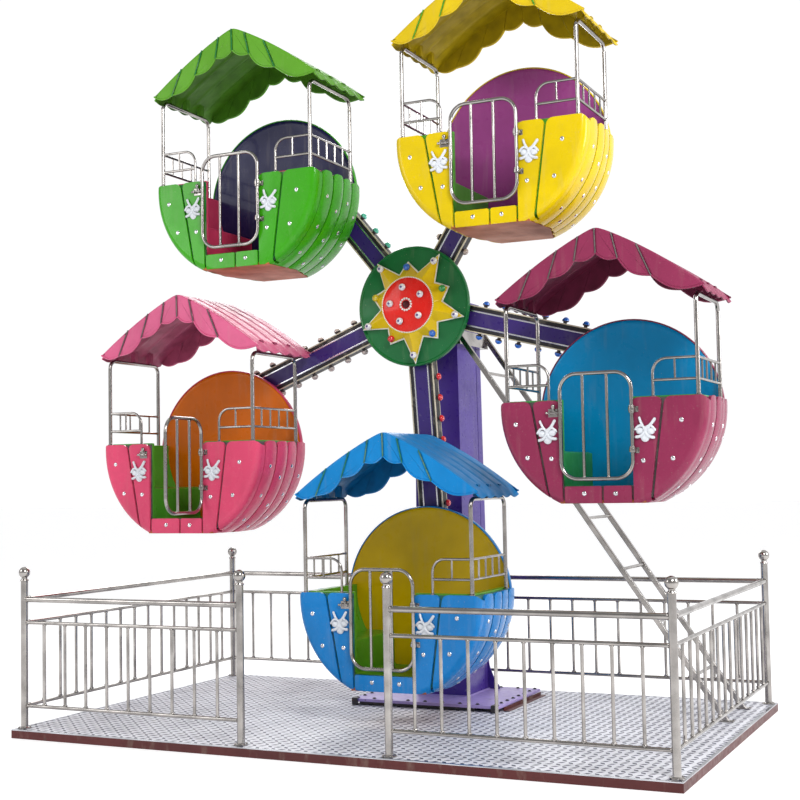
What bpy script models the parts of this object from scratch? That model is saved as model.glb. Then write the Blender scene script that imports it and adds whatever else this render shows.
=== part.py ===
"""A small fairground ferris wheel with five open cabins on one side of a column.

Metres, +Z up, ground at z = 0, origin under the middle of the platform.
X runs along the platform's front edge and -Y is the side where riders get on.
"""

from math import asin, cos, pi, radians, sin, sqrt

import bmesh
import bpy
from mathutils import Matrix, Vector

# Driving dimensions, in metres and degrees
GAP = 0.0003                    # between pieces that touch
PAST = 0.01                     # how far a cutter runs past the face it opens
BITE = 0.001                    # how deep joined pieces enter each other

PLATFORM_HALF_X = 2.35
PLATFORM_HALF_Y = 1.42
DECK_TOP = 0.06
DECK_PLATE = 0.005
FRAME_BAR = 0.05                # width of the platform's edge and cross members
FRAME_BAYS = 4

POST_X = 2.296                  # fence posts, from the middle
POST_Y = 1.345
ENTRY_HALF = 0.528              # half the gap that riders walk through
POST_R = 0.025
POST_TOP = 1.045                # heights above the deck
BALL_R = 0.040
BALL_RISE = 0.032               # of the ball's middle above the post
TOP_RAIL_Z = 0.89
TOP_RAIL_R = 0.019
MID_RAIL_Z = 0.73
LOW_RAIL_Z = 0.155
THIN_RAIL_R = 0.0125
BALUSTER_R = 0.011
FRONT_BALUSTERS = 9
SIDE_BALUSTERS = 14
BACK_BALUSTERS = 24

HUB_Z = DECK_TOP + 2.965
WHEEL_R = 1.70                  # from the hub to each cabin's pivot
ARM_ANGLES = {"maroon": -14.6, "yellow": 57.4, "green": 129.4, "pink": 201.4, "blue": 273.4}
ARM_WIDTH = 0.195
ARM_Y0 = 0.315                  # front and back faces of the arms
ARM_Y1 = 0.405
ARM_EYE_R = 0.10
ARM_EYE_PROUD = 0.012
ARM_EYE_SIDES = 16
HUB_FLAT = 0.19                 # from the axis to the hub block's five flats
HUB_BACK_Y = 0.43
SHAFT_R = 0.06
SHAFT_SIDES = 24
DISC_R = 0.45
DISC_SIDES = 36
DISC_Y0 = 0.235
DISC_Y1 = ARM_Y0 - 0.02
STAR_LONG = 0.436
STAR_SHORT = 0.332
STAR_NOTCH = 0.252
STAR_THICK = 0.010              # of the star's edge; it rises to a flat ring in its middle
STAR_RISE = 0.06
STAR_RING = 0.216
CENTRE_R = 0.206
CENTRE_THICK = 0.012
CENTRE_SIDES = 24

COLUMN_Y0 = 0.66
COLUMN_Y1 = 1.12
COLUMN_HALF_FOOT = 0.205
COLUMN_HALF_TOP = 0.175
COLUMN_TOP = DECK_TOP + 3.05
SHAFT_END_Y = 1.07
BASE_HALF_X = 0.59
BASE_Y0 = 0.31
BASE_Y1 = 1.20
BASE_TOP = DECK_TOP + 0.047
BASE_PLATE = 0.022
PAD_SIZE = 0.10
GUSSET = 0.09                   # its reach beside the column, height, foot edge and thickness
GUSSET_TALL = 0.30
GUSSET_EDGE = 0.02
GUSSET_PLATE = 0.012
GUSSET_BACK = 0.03              # from the column's back to its gussets' middles
SHAFT_ROOM = 0.002              # between the shaft's end and its bore's end
PAD_BITE = 0.004

DRIVE_HALF_X = 0.13             # gearbox on the column's back, with its motor below
DRIVE_DEPTH = 0.20
DRIVE_BELOW = 0.17
DRIVE_ABOVE = 0.07
MOTOR_R = 0.085
MOTOR_OUT = 0.115
MOTOR_BELOW = 0.50
MOTOR_SIDES = 12

LADDER_Y0 = 0.52                # middles of the two rails
LADDER_Y1 = 1.08
LADDER_FOOT_X = 2.17
LADDER_TOP_X = 0.225
LADDER_TOP_Z = DECK_TOP + 2.81
LADDER_BAR = 0.036
RUNG_R = 0.012
RUNG_STEP = 0.36
RUNG_FIRST = DECK_TOP + 0.30
RUNGS = 7
SEAT_TALL = 0.12                # plate on the column's side that carries the ladder
SEAT_FLARE = 0.02
SEAT_DROP = 0.01

# Cabin sizes, measured from its pivot: z up, y towards the wheel
PIN_R = 0.022
PIN_SIDES = 16
PIN_PAST = 0.02                 # of the pin's end beyond the arm
FLANGE_R = 0.09                 # between the cabin's back and the arm
FLANGE_THICK = 0.022
FLANGE_SIDES = 12
HULL_R = 0.69
HULL_ZC = -0.405
HULL_STATIONS = ((-0.49, 0.0), (-0.12, 0.01), (0.25, -0.03))   # y, and what HULL_R changes by
RIM_Z = -0.365
BOTTOM_Z = -1.03
SIDE_WALL = 0.058
FRONT_WALL = 0.035
FLOOR_WALL = 0.030
BACK_WALL = 0.035
BACK_R = 0.645
BACK_ZC = -0.43
BACK_SIDES = 24
INLAY = 0.008
INLAY_R = 0.636
INLAY_SIDES = 28
INLAY_FIT = 0.99                # of the room left by the hull's wall
INLAY_FREE = 0.03               # above the rim, where the wall ends
LINER_WALL = 0.030
LINER_LIP = 0.008
FLOOR_Z = -0.935
SEAT_Z = -0.69
AISLE_HALF = 0.275
DOORWAY_X0 = -0.26
DOORWAY_X1 = 0.205
SILL_Z = -0.92

DOOR_Y = -0.512                 # middle of the door's tube, and the hinge line
DOOR_X0 = -0.258
HINGE_X = 0.215
DOOR_Z0 = -0.875
DOOR_Z1 = -0.200
DOOR_R = 0.0125
DOOR_CORNER = 0.11
DOOR_BAR_R = 0.010
DOOR_BARS = (-0.105, 0.055)
EYE_Z = (-0.70, -0.44)
EYE_HALF = 0.012
EYE_REACH = 0.022
EYE_PLAY = 0.003
EYE_BITE = 0.004
EYE_SIDES = 6
COLLAR_TALL = 0.012             # ring on the door's tube that rests on the lower eye
COLLAR_PROUD = 0.007
PINK_DOOR_OPEN = 92.0           # degrees, the one door that stands open

HOOP_X = 0.632
HOOP_Y0 = -0.4725
HOOP_Y1 = 0.145
HOOP_R = 0.014
HOOP_TOP = 0.275
HOOP_CORNER = 0.06
RAIL_R = 0.009
RAIL_FOOT_X = 0.345
RAIL_TOP = -0.127
RAIL_LOW = -0.262
RAIL_CORNER = 0.09

ROOF_HALF = 0.70
ROOF_Y0 = -0.50
ROOF_Y1 = 0.28
ROOF_RIDGE = 0.74
ROOF_SLOPE = 0.47
ROOF_CURVE = 0.23
ROOF_ROUND = 0.03
ROOF_SKIN = 0.012
ROOF_LINES = (0.0, 0.04, 0.12, 0.30, 0.50, 0.70)   # where the roof's facets meet, each side
SCALLOP_ENDS = ((-0.70, 0.322), (-0.53, 0.312), (-0.325, 0.435), (-0.145, 0.535),
                (0.0, 0.575), (0.145, 0.53), (0.36, 0.40), (0.70, 0.322))
SCALLOP_BULGE = 0.16            # of each scallop's chord
LID_SHARE = 0.995               # of the roof's width, where the valances end
EAVE_SCALLOPS = 5
EAVE_DROP = 0.018
EAVE_INSET = 0.002
SADDLE_HALF = 0.015             # of the clamp strips under the roof
SADDLE_INSET = 0.12
SADDLE_SINK = 0.003

COLOURS = {
    "steel": ((0.72, 0.72, 0.74), 0.22, 1.0),
    "chequer": ((0.52, 0.53, 0.56), 0.35, 1.0),
    "frame": ((0.16, 0.05, 0.05), 0.5, 0.0),
    "purple": ((0.10, 0.05, 0.22), 0.35, 0.0),
    "violet": ((0.30, 0.22, 0.50), 0.4, 0.0),
    "hub_green": ((0.01, 0.13, 0.04), 0.3, 0.0),
    "star_yellow": ((0.75, 0.52, 0.02), 0.3, 0.0),
    "centre_red": ((0.70, 0.02, 0.01), 0.25, 0.0),
    "grey": ((0.18, 0.19, 0.20), 0.5, 0.2),
}
GLOSS = 0.3                     # roughness of the moulded glass-fibre
CABINS = {
    "green": {"tub": (0.06, 0.43, 0.02), "canopy": (0.16, 0.40, 0.05),
              "liner": (0.58, 0.05, 0.13), "disc": (0.02, 0.02, 0.07)},
    "yellow": {"tub": (0.83, 0.64, 0.01), "canopy": (0.78, 0.61, 0.05),
               "liner": (0.08, 0.26, 0.03), "disc": (0.22, 0.05, 0.19)},
    "maroon": {"tub": (0.35, 0.05, 0.13), "canopy": (0.35, 0.05, 0.13),
               "liner": (0.03, 0.27, 0.05), "disc": (0.0, 0.19, 0.40)},
    "blue": {"tub": (0.03, 0.24, 0.65), "canopy": (0.02, 0.22, 0.60),
             "liner": (0.08, 0.30, 0.02), "disc": (0.43, 0.28, 0.0)},
    "pink": {"tub": (0.67, 0.09, 0.19), "canopy": (0.67, 0.16, 0.30),
             "liner": (0.06, 0.30, 0.02), "disc": (0.58, 0.14, 0.0)},
}


def clear_scene():
    for obj in list(bpy.data.objects):
        bpy.data.objects.remove(obj, do_unlink=True)


def material(name, colour, roughness, metallic):
    mat = bpy.data.materials.get(name)
    if mat is None:
        mat = bpy.data.materials.new(name)
        mat.use_nodes = True
        shader = mat.node_tree.nodes["Principled BSDF"]
        shader.inputs["Base Color"].default_value = (*colour, 1.0)
        shader.inputs["Roughness"].default_value = roughness
        shader.inputs["Metallic"].default_value = metallic
    return mat


def finish(name):
    return material(name, *COLOURS[name])


# Solids

def from_bmesh(name, bm):
    bmesh.ops.recalc_face_normals(bm, faces=bm.faces)
    mesh = bpy.data.meshes.new(name)
    bm.to_mesh(mesh)
    bm.free()
    obj = bpy.data.objects.new(name, mesh)
    bpy.context.collection.objects.link(obj)
    return obj


def prism(name, outline, start, end):
    """A flat outline drawn in X and Z, extruded along Y from start to end."""
    bm = bmesh.new()
    face = bm.faces.new([bm.verts.new((x, start, z)) for x, z in outline])
    made = bmesh.ops.extrude_face_region(bm, geom=[face])
    moved = [item for item in made["geom"] if isinstance(item, bmesh.types.BMVert)]
    bmesh.ops.translate(bm, vec=(0.0, end - start, 0.0), verts=moved)
    return from_bmesh(name, bm)


def side_prism(name, outline, start, end):
    """A flat outline drawn in Y and Z, extruded along X from start to end."""
    bm = bmesh.new()
    face = bm.faces.new([bm.verts.new((start, y, z)) for y, z in outline])
    made = bmesh.ops.extrude_face_region(bm, geom=[face])
    moved = [item for item in made["geom"] if isinstance(item, bmesh.types.BMVert)]
    bmesh.ops.translate(bm, vec=(end - start, 0.0, 0.0), verts=moved)
    return from_bmesh(name, bm)


def loft(name, sections):
    """Closed outlines with equal numbers of points, bridged from first to last."""
    bm = bmesh.new()
    rings = [[bm.verts.new(point) for point in section] for section in sections]
    edges = []
    for ring in rings:
        count = len(ring)
        edges.append([bm.edges.new((ring[i], ring[(i + 1) % count])) for i in range(count)])
    for near, far in zip(edges, edges[1:]):
        bmesh.ops.bridge_loops(bm, edges=near + far)
    bm.faces.new(rings[0])
    bm.faces.new(rings[-1])
    return from_bmesh(name, bm)


def box(name, low, high):
    outline = ((low[0], low[2]), (high[0], low[2]), (high[0], high[2]), (low[0], high[2]))
    return prism(name, outline, low[1], high[1])


def round_outline(radius, sides, zc=0.0, turn=0.5):
    return [(radius * cos(2 * pi * (i + turn) / sides), zc + radius * sin(2 * pi * (i + turn) / sides))
            for i in range(sides)]


def upright(name, x, y, z0, z1, radius, sides):
    bm = bmesh.new()
    bmesh.ops.create_cone(bm, cap_ends=True, segments=sides, radius1=radius, radius2=radius,
                          depth=z1 - z0)
    bmesh.ops.translate(bm, vec=(x, y, (z0 + z1) / 2), verts=bm.verts)
    return from_bmesh(name, bm)


def tube(name, points, radius, resolution=1, closed=False):
    """A bent tube along points, with 4 + 2 * resolution sides."""
    curve = bpy.data.curves.new(name, "CURVE")
    curve.dimensions = "3D"
    curve.bevel_depth = radius
    curve.bevel_resolution = resolution
    curve.use_fill_caps = not closed
    spline = curve.splines.new("POLY")
    spline.points.add(len(points) - 1)
    for item, point in zip(spline.points, points):
        item.co = (*point, 1.0)
    spline.use_cyclic_u = closed
    path = bpy.data.objects.new(name + "_path", curve)
    bpy.context.collection.objects.link(path)
    graph = bpy.context.evaluated_depsgraph_get()
    mesh = bpy.data.meshes.new_from_object(path.evaluated_get(graph))
    bpy.data.objects.remove(path, do_unlink=True)
    bm = bmesh.new()
    bm.from_mesh(mesh)
    bmesh.ops.remove_doubles(bm, verts=bm.verts, dist=0.00001)
    return from_bmesh(name, bm)


def together(name, pieces):
    """Pieces that don't touch, as one object, ready for a union with another."""
    bm = bmesh.new()
    for piece in pieces:
        bm.from_mesh(piece.data)
        bpy.data.objects.remove(piece, do_unlink=True)
    return from_bmesh(name, bm)


def combine(base, add=(), cut=()):
    """Join add to base and take cut away, as one closed mesh."""
    for operation, tools in (("UNION", add), ("DIFFERENCE", cut)):
        for tool in tools:
            modifier = base.modifiers.new(operation.lower(), "BOOLEAN")
            modifier.operation = operation
            modifier.solver = "EXACT"
            modifier.object = tool
    graph = bpy.context.evaluated_depsgraph_get()
    mesh = bpy.data.meshes.new_from_object(base.evaluated_get(graph))
    base.modifiers.clear()
    base.data = mesh
    for tool in (*add, *cut):
        bpy.data.objects.remove(tool, do_unlink=True)
    bm = bmesh.new()
    bm.from_mesh(mesh)
    bmesh.ops.remove_doubles(bm, verts=bm.verts, dist=0.00002)
    bmesh.ops.dissolve_degenerate(bm, edges=bm.edges, dist=0.00002)
    bmesh.ops.dissolve_limit(bm, angle_limit=radians(0.3), verts=bm.verts, edges=bm.edges)
    bmesh.ops.triangulate(bm, faces=bm.faces)
    bm.to_mesh(mesh)
    bm.free()
    return base


def place(obj, mat, parent=None, location=(0.0, 0.0, 0.0), smooth=False):
    obj.data.materials.clear()
    obj.data.materials.append(mat)
    obj.location = location
    if parent is not None:
        obj.parent = parent
    if smooth:
        obj.data.shade_smooth()
        obj.data.set_sharp_from_angle(angle=radians(35))
    return obj


def empty(name, location, parent=None):
    obj = bpy.data.objects.new(name, None)
    obj.location = location
    obj.empty_display_size = 0.1
    bpy.context.collection.objects.link(obj)
    obj.parent = parent
    return obj


def copy_of(obj, name):
    twin = bpy.data.objects.new(name, obj.data.copy())
    bpy.context.collection.objects.link(twin)
    return twin


# Platform

def platform():
    hx = PLATFORM_HALF_X
    hy = PLATFORM_HALF_Y
    top = DECK_TOP - DECK_PLATE - GAP
    frame = box("platform_frame", (-hx, -hy, 0.0), (hx, hy, top))
    step = (2 * hx - FRAME_BAR) / FRAME_BAYS
    inner = hy - FRAME_BAR
    holes = []
    for i in range(FRAME_BAYS):
        left = -hx + FRAME_BAR + i * step
        holes.append(box("bay", (left, -inner, -PAST), (left + step - FRAME_BAR, inner, top + PAST)))
    combine(frame, cut=[together("bays", holes)])
    place(frame, finish("frame"))
    deck = box("platform_deck", (-hx, -hy, DECK_TOP - DECK_PLATE), (hx, hy, DECK_TOP))
    place(deck, finish("chequer"))


# Fence

def post(x, y):
    stem = upright("post", x, y, DECK_TOP + GAP, DECK_TOP + POST_TOP, POST_R, 8)
    bm = bmesh.new()
    bmesh.ops.create_uvsphere(bm, u_segments=8, v_segments=5, radius=BALL_R)
    bmesh.ops.translate(bm, vec=(x, y, DECK_TOP + POST_TOP + BALL_RISE), verts=bm.verts)
    return combine(stem, add=[from_bmesh("ball", bm)])


def fence_panel(name, posts, start, end, balusters):
    """Three rails from start to end, upright bars between the lower two, and the posts."""
    a = Vector((*start, DECK_TOP))
    b = Vector((*end, DECK_TOP))
    rails = []
    for height, radius in ((TOP_RAIL_Z, TOP_RAIL_R), (MID_RAIL_Z, THIN_RAIL_R), (LOW_RAIL_Z, THIN_RAIL_R)):
        lift = Vector((0.0, 0.0, height))
        rails.append(tube("rail", [a + lift, b + lift], radius, 1 if radius > THIN_RAIL_R else 0))
    level = together(name, rails)
    bars = []
    for i in range(balusters):
        spot = a.lerp(b, (i + 1) / (balusters + 1))
        bars.append(upright("bar", spot.x, spot.y, DECK_TOP + LOW_RAIL_Z, DECK_TOP + MID_RAIL_Z,
                            BALUSTER_R, 4))
    uprights = bars + [post(*spot) for spot in posts]
    combine(level, add=[together("uprights", uprights)])
    return place(level, finish("steel"), smooth=True)


def fences():
    clear = POST_R + GAP
    outer = -POST_X
    inner = -ENTRY_HALF
    fence_panel("fence_front_left", [(outer, -POST_Y), (inner, -POST_Y)],
                (outer, -POST_Y), (inner, -POST_Y), FRONT_BALUSTERS)
    fence_panel("fence_front_right", [(-inner, -POST_Y), (-outer, -POST_Y)],
                (-inner, -POST_Y), (-outer, -POST_Y), FRONT_BALUSTERS)
    for side, name in ((-1, "fence_left"), (1, "fence_right")):
        x = side * POST_X
        fence_panel(name, [(x, POST_Y)], (x, -POST_Y + clear), (x, POST_Y), SIDE_BALUSTERS)
    fence_panel("fence_back", [(0.0, POST_Y)], (-POST_X + clear, POST_Y), (POST_X - clear, POST_Y),
                BACK_BALUSTERS)


# Column, drive and ladder

def column():
    def section(z, half):
        return [(-half, COLUMN_Y0, z), (half, COLUMN_Y0, z), (half, COLUMN_Y1, z), (-half, COLUMN_Y1, z)]

    body = loft("column", [section(BASE_TOP + GAP, COLUMN_HALF_FOOT), section(COLUMN_TOP, COLUMN_HALF_TOP)])
    foot_z = BASE_TOP + GAP
    wings = []
    for side in (-1, 1):
        inner = side * (COLUMN_HALF_FOOT - GUSSET_EDGE)
        outer = side * (COLUMN_HALF_FOOT + GUSSET)
        outline = ((inner, foot_z), (outer, foot_z), (outer, foot_z + GUSSET_EDGE),
                   (inner, foot_z + GUSSET_TALL))
        back = COLUMN_Y1 - GUSSET_BACK
        wings.append(prism("gusset", outline, back - GUSSET_PLATE / 2, back + GUSSET_PLATE / 2))
    fit = (SHAFT_R + GAP) / cos(pi / SHAFT_SIDES)
    bore = prism("bore", round_outline(fit, SHAFT_SIDES, HUB_Z), COLUMN_Y0 - PAST, SHAFT_END_Y + SHAFT_ROOM)
    combine(body, add=[together("gussets", wings)], cut=[bore])
    place(body, finish("purple"))

    plate_low = BASE_TOP - BASE_PLATE
    plate = box("column_base", (-BASE_HALF_X, BASE_Y0, plate_low), (BASE_HALF_X, BASE_Y1, BASE_TOP))
    pads = []
    half = PAD_SIZE / 2
    high = plate_low + PAD_BITE
    for x in (-BASE_HALF_X + PAD_SIZE, 0.0, BASE_HALF_X - PAD_SIZE):
        for y in (BASE_Y0 + PAD_SIZE, BASE_Y1 - PAD_SIZE):
            pads.append(box("pad", (x - half, y - half, DECK_TOP + GAP), (x + half, y + half, high)))
    combine(plate, add=[together("pads", pads)])
    place(plate, finish("violet"))


def drive():
    """A gearbox on the column's back, with its motor hanging below."""
    back = COLUMN_Y1 + GAP
    low = HUB_Z - DRIVE_BELOW
    case = box("drive", (-DRIVE_HALF_X, back, low),
               (DRIVE_HALF_X, back + DRIVE_DEPTH, HUB_Z + DRIVE_ABOVE))
    motor = upright("motor", 0.0, back + MOTOR_OUT, HUB_Z - MOTOR_BELOW, low + PAST, MOTOR_R, MOTOR_SIDES)
    combine(case, add=[motor])
    place(case, finish("grey"))


def ladder():
    run = Vector((LADDER_TOP_X - LADDER_FOOT_X, 0.0, LADDER_TOP_Z - DECK_TOP))
    half = LADDER_BAR / 2
    lean = run.normalized()
    across = half / lean.z
    rails = []
    for y in (LADDER_Y0, LADDER_Y1):
        foot = DECK_TOP + GAP
        outline = ((LADDER_FOOT_X - across, foot), (LADDER_FOOT_X + across, foot),
                   (LADDER_TOP_X + across, LADDER_TOP_Z), (LADDER_TOP_X - across, LADDER_TOP_Z))
        rails.append(prism("rail", outline, y - half, y + half))
    rungs = []
    for i in range(RUNGS):
        z = RUNG_FIRST + i * RUNG_STEP
        share = (z - DECK_TOP) / (LADDER_TOP_Z - DECK_TOP)
        x = LADDER_FOOT_X + share * (LADDER_TOP_X - LADDER_FOOT_X)
        rungs.append(tube("rung", [(x, LADDER_Y0, z), (x, LADDER_Y1, z)], RUNG_R))
    # a plate on the column's side carries the ladder's top
    side = column_half(LADDER_TOP_Z - SEAT_DROP) + GAP
    low = LADDER_TOP_Z - SEAT_TALL
    high = LADDER_TOP_Z - SEAT_DROP
    reach = LADDER_TOP_X + across - BITE
    outline = ((column_half(low) + GAP, low), (reach + SEAT_FLARE, low), (reach, high), (side, high))
    seat = prism("seat", outline, LADDER_Y0, LADDER_Y1)
    frame = together("ladder", rails)
    combine(frame, add=[together("rungs", rungs), seat])
    place(frame, finish("steel"))


def column_half(z):
    share = (z - BASE_TOP) / (COLUMN_TOP - BASE_TOP)
    return COLUMN_HALF_FOOT + share * (COLUMN_HALF_TOP - COLUMN_HALF_FOOT)


# Wheel

def wheel():
    axis = empty("wheel_axis", (0.0, 0.0, HUB_Z))
    first = radians(ARM_ANGLES["maroon"])
    corner = HUB_FLAT / cos(pi / 5)
    flats = [(corner * cos(first + pi / 5 + i * 2 * pi / 5), corner * sin(first + pi / 5 + i * 2 * pi / 5))
             for i in range(5)]
    block = prism("hub_block", flats, DISC_Y1 + GAP, HUB_BACK_Y)
    shaft = prism("shaft", round_outline(SHAFT_R, SHAFT_SIDES), HUB_BACK_Y - PAST, SHAFT_END_Y)
    combine(block, add=[shaft])
    place(block, finish("purple"), axis)

    disc = prism("hub_disc", round_outline(DISC_R, DISC_SIDES), DISC_Y0, DISC_Y1)
    place(disc, finish("hub_green"), axis, smooth=True)

    outline, ring = [], []
    for i in range(20):
        if i % 2:
            reach = STAR_NOTCH
        elif i % 4:
            reach = STAR_SHORT
        else:
            reach = STAR_LONG
        turn = first + i * pi / 10
        outline.append((reach * cos(turn), reach * sin(turn)))
        ring.append((STAR_RING * cos(turn), STAR_RING * sin(turn)))
    front = DISC_Y0 - GAP
    levels = ((outline, front), (outline, front - STAR_THICK), (ring, front - STAR_THICK - STAR_RISE))
    star = loft("hub_star", [[(x, y, z) for x, z in points] for points, y in levels])
    place(star, finish("star_yellow"), axis)
    face = front - STAR_THICK - STAR_RISE - GAP
    centre = prism("hub_centre", round_outline(CENTRE_R, CENTRE_SIDES), face - CENTRE_THICK, face)
    place(centre, finish("centre_red"), axis, smooth=True)

    half = ARM_WIDTH / 2
    start = HUB_FLAT + GAP
    beam = box("arm", (start, ARM_Y0, -half), (WHEEL_R, ARM_Y1, half))
    eye = prism("eye", round_outline(ARM_EYE_R, ARM_EYE_SIDES), ARM_Y0 - ARM_EYE_PROUD,
                ARM_Y1 + ARM_EYE_PROUD)
    eye.data.transform(Matrix.Translation((WHEEL_R, 0.0, 0.0)))
    fit = (PIN_R + GAP) / cos(pi / PIN_SIDES)
    reach = ARM_EYE_PROUD + PAST
    bore = prism("bore", round_outline(fit, PIN_SIDES), ARM_Y0 - reach, ARM_Y1 + reach)
    bore.data.transform(Matrix.Translation((WHEEL_R, 0.0, 0.0)))
    combine(beam, add=[eye], cut=[bore])
    for colour, angle in ARM_ANGLES.items():
        arm = copy_of(beam, "arm_" + colour)
        place(arm, finish("purple"), axis)
        arm.rotation_euler = (0.0, -radians(angle), 0.0)
    bpy.data.objects.remove(beam, do_unlink=True)


# Cabin

def hull_radius(y):
    """The hull's outer radius at a place along its depth."""
    for (y0, d0), (y1, d1) in zip(HULL_STATIONS, HULL_STATIONS[1:]):
        if y <= y1:
            return HULL_R + d0 + (d1 - d0) * (y - y0) / (y1 - y0)
    return HULL_R + HULL_STATIONS[-1][1]


def hull_outline(y, inset, floor_z, top_z, steps=5):
    """The U of the hull across X and Z, closed straight at the top."""
    radius = hull_radius(y) - inset
    last = -asin((HULL_ZC - floor_z) / radius)
    points = [(radius, top_z)]
    for i in range(steps + 1):
        turn = last * i / steps
        points.append((radius * cos(turn), HULL_ZC + radius * sin(turn)))
    return [(x, y, z) for x, z in points] + [(-x, y, z) for x, z in reversed(points)]


def tub():
    y0 = HULL_STATIONS[0][0]
    ym = HULL_STATIONS[1][0]
    y1 = HULL_STATIONS[-1][0]
    shell = loft("tub", [hull_outline(y, 0.0, BOTTOM_Z, RIM_Z) for y in (y0, ym, y1)])
    inside = [hull_outline(y, SIDE_WALL, BOTTOM_Z + FLOOR_WALL, RIM_Z + PAST)
              for y in (y0 + FRONT_WALL, ym, y1 - BACK_WALL)]
    hollow = loft("hollow", inside)
    back = prism("back", clipped_disc(BACK_R, BACK_ZC, BOTTOM_Z + BITE, BACK_SIDES),
                 y1 - BACK_WALL + BITE, y1 - BITE)
    flange = prism("flange", round_outline(FLANGE_R, FLANGE_SIDES), y1 - PAST, y1 + FLANGE_THICK)
    pin = prism("pin", round_outline(PIN_R, PIN_SIDES), y1 + PAST, ARM_Y1 + PIN_PAST)
    eyes = []
    holes = []
    for z in EYE_Z:
        eyes.append(box("eye", (HINGE_X - EYE_REACH, DOOR_Y - EYE_REACH, z - EYE_HALF),
                        (HINGE_X + EYE_REACH, y0 + EYE_BITE, z + EYE_HALF)))
        holes.append(upright("hole", HINGE_X, DOOR_Y, z - EYE_HALF - PAST, z + EYE_HALF + PAST,
                             DOOR_R + EYE_PLAY, EYE_SIDES))
    doorway = box("doorway", (DOORWAY_X0, y0 - PAST, SILL_Z),
                  (DOORWAY_X1, y0 + FRONT_WALL + PAST, RIM_Z + PAST))
    combine(shell, cut=[hollow, doorway])
    combine(shell, add=[back, flange, pin, together("eyes", eyes)], cut=[together("holes", holes)])
    return shell


def clipped_disc(radius, zc, low_z, sides):
    """A round outline with a flat foot at low_z."""
    foot = asin((low_z - zc) / radius)
    sweep = pi - 2 * foot
    return [(radius * cos(foot + sweep * i / sides), zc + radius * sin(foot + sweep * i / sides))
            for i in range(sides + 1)]


def back_disc():
    """The coloured inner face of the round back, inside the hull below the rim."""
    face = HULL_STATIONS[-1][0] - BACK_WALL - GAP
    room = hull_radius(face) - SIDE_WALL - 2 * GAP
    offset = HULL_ZC - BACK_ZC
    low = BOTTOM_Z + FLOOR_WALL + GAP
    outline = []
    for i in range(INLAY_SIDES):
        turn = 2 * pi * (i + 0.5) / INLAY_SIDES
        reach = INLAY_R
        wall = offset * sin(turn) + sqrt(room ** 2 - (offset * cos(turn)) ** 2)
        if BACK_ZC + wall * sin(turn) < RIM_Z + INLAY_FREE:
            reach = min(reach, wall * INLAY_FIT)
        z = BACK_ZC + reach * sin(turn)
        x = reach * cos(turn)
        if z < low:
            x *= (BACK_ZC - low) / (BACK_ZC - z)
            z = low
        outline.append((x, z))
    return prism("back_disc", outline, face - INLAY, face)


def liner():
    """The inner shell: its walls, its floor and the two benches that face each other."""
    y0 = HULL_STATIONS[0][0] + FRONT_WALL + GAP
    ym = HULL_STATIONS[1][0]
    y1 = HULL_STATIONS[-1][0] - BACK_WALL - GAP - INLAY - GAP
    under = BOTTOM_Z + FLOOR_WALL + GAP
    inset = SIDE_WALL + 2 * GAP
    shell = loft("liner", [hull_outline(y, inset, under, RIM_Z + LINER_LIP) for y in (y0, ym, y1)])
    wall = hull_radius(y1) - SIDE_WALL - LINER_WALL
    seat_end = sqrt(wall ** 2 - (HULL_ZC - SEAT_Z) ** 2)
    mid_z = (HULL_ZC + SEAT_Z) / 2
    mid_x = sqrt(wall ** 2 - (HULL_ZC - mid_z) ** 2)
    right = [(AISLE_HALF, FLOOR_Z), (AISLE_HALF, SEAT_Z), (seat_end, SEAT_Z), (mid_x, mid_z),
             (wall, HULL_ZC), (wall, RIM_Z + PAST)]
    outline = right + [(-x, z) for x, z in reversed(right)]
    room = prism("room", outline, y0 + LINER_WALL, y1 + PAST)
    doorway = box("doorway", (DOORWAY_X0, y0 - PAST, SILL_Z),
                  (DOORWAY_X1, y0 + LINER_WALL + PAST, RIM_Z + PAST))
    return combine(shell, cut=[room, doorway])


def roof_z(x):
    rounded = sqrt(x * x + ROOF_ROUND ** 2) - ROOF_ROUND
    return ROOF_RIDGE - ROOF_SLOPE * rounded - ROOF_CURVE * rounded ** 2


def scallops(ends, steps, bulge):
    """Round tongues hanging between each pair of ends."""
    points = [ends[0]]
    for (xa, za), (xb, zb) in zip(ends, ends[1:]):
        chord = sqrt((xb - xa) ** 2 + (zb - za) ** 2)
        nx = (zb - za) / chord
        nz = -(xb - xa) / chord
        for i in range(1, steps + 1):
            share = i / steps
            drop = bulge * chord * sin(pi * share)
            points.append((xa + (xb - xa) * share + nx * drop, za + (zb - za) * share + nz * drop))
    return points


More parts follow.
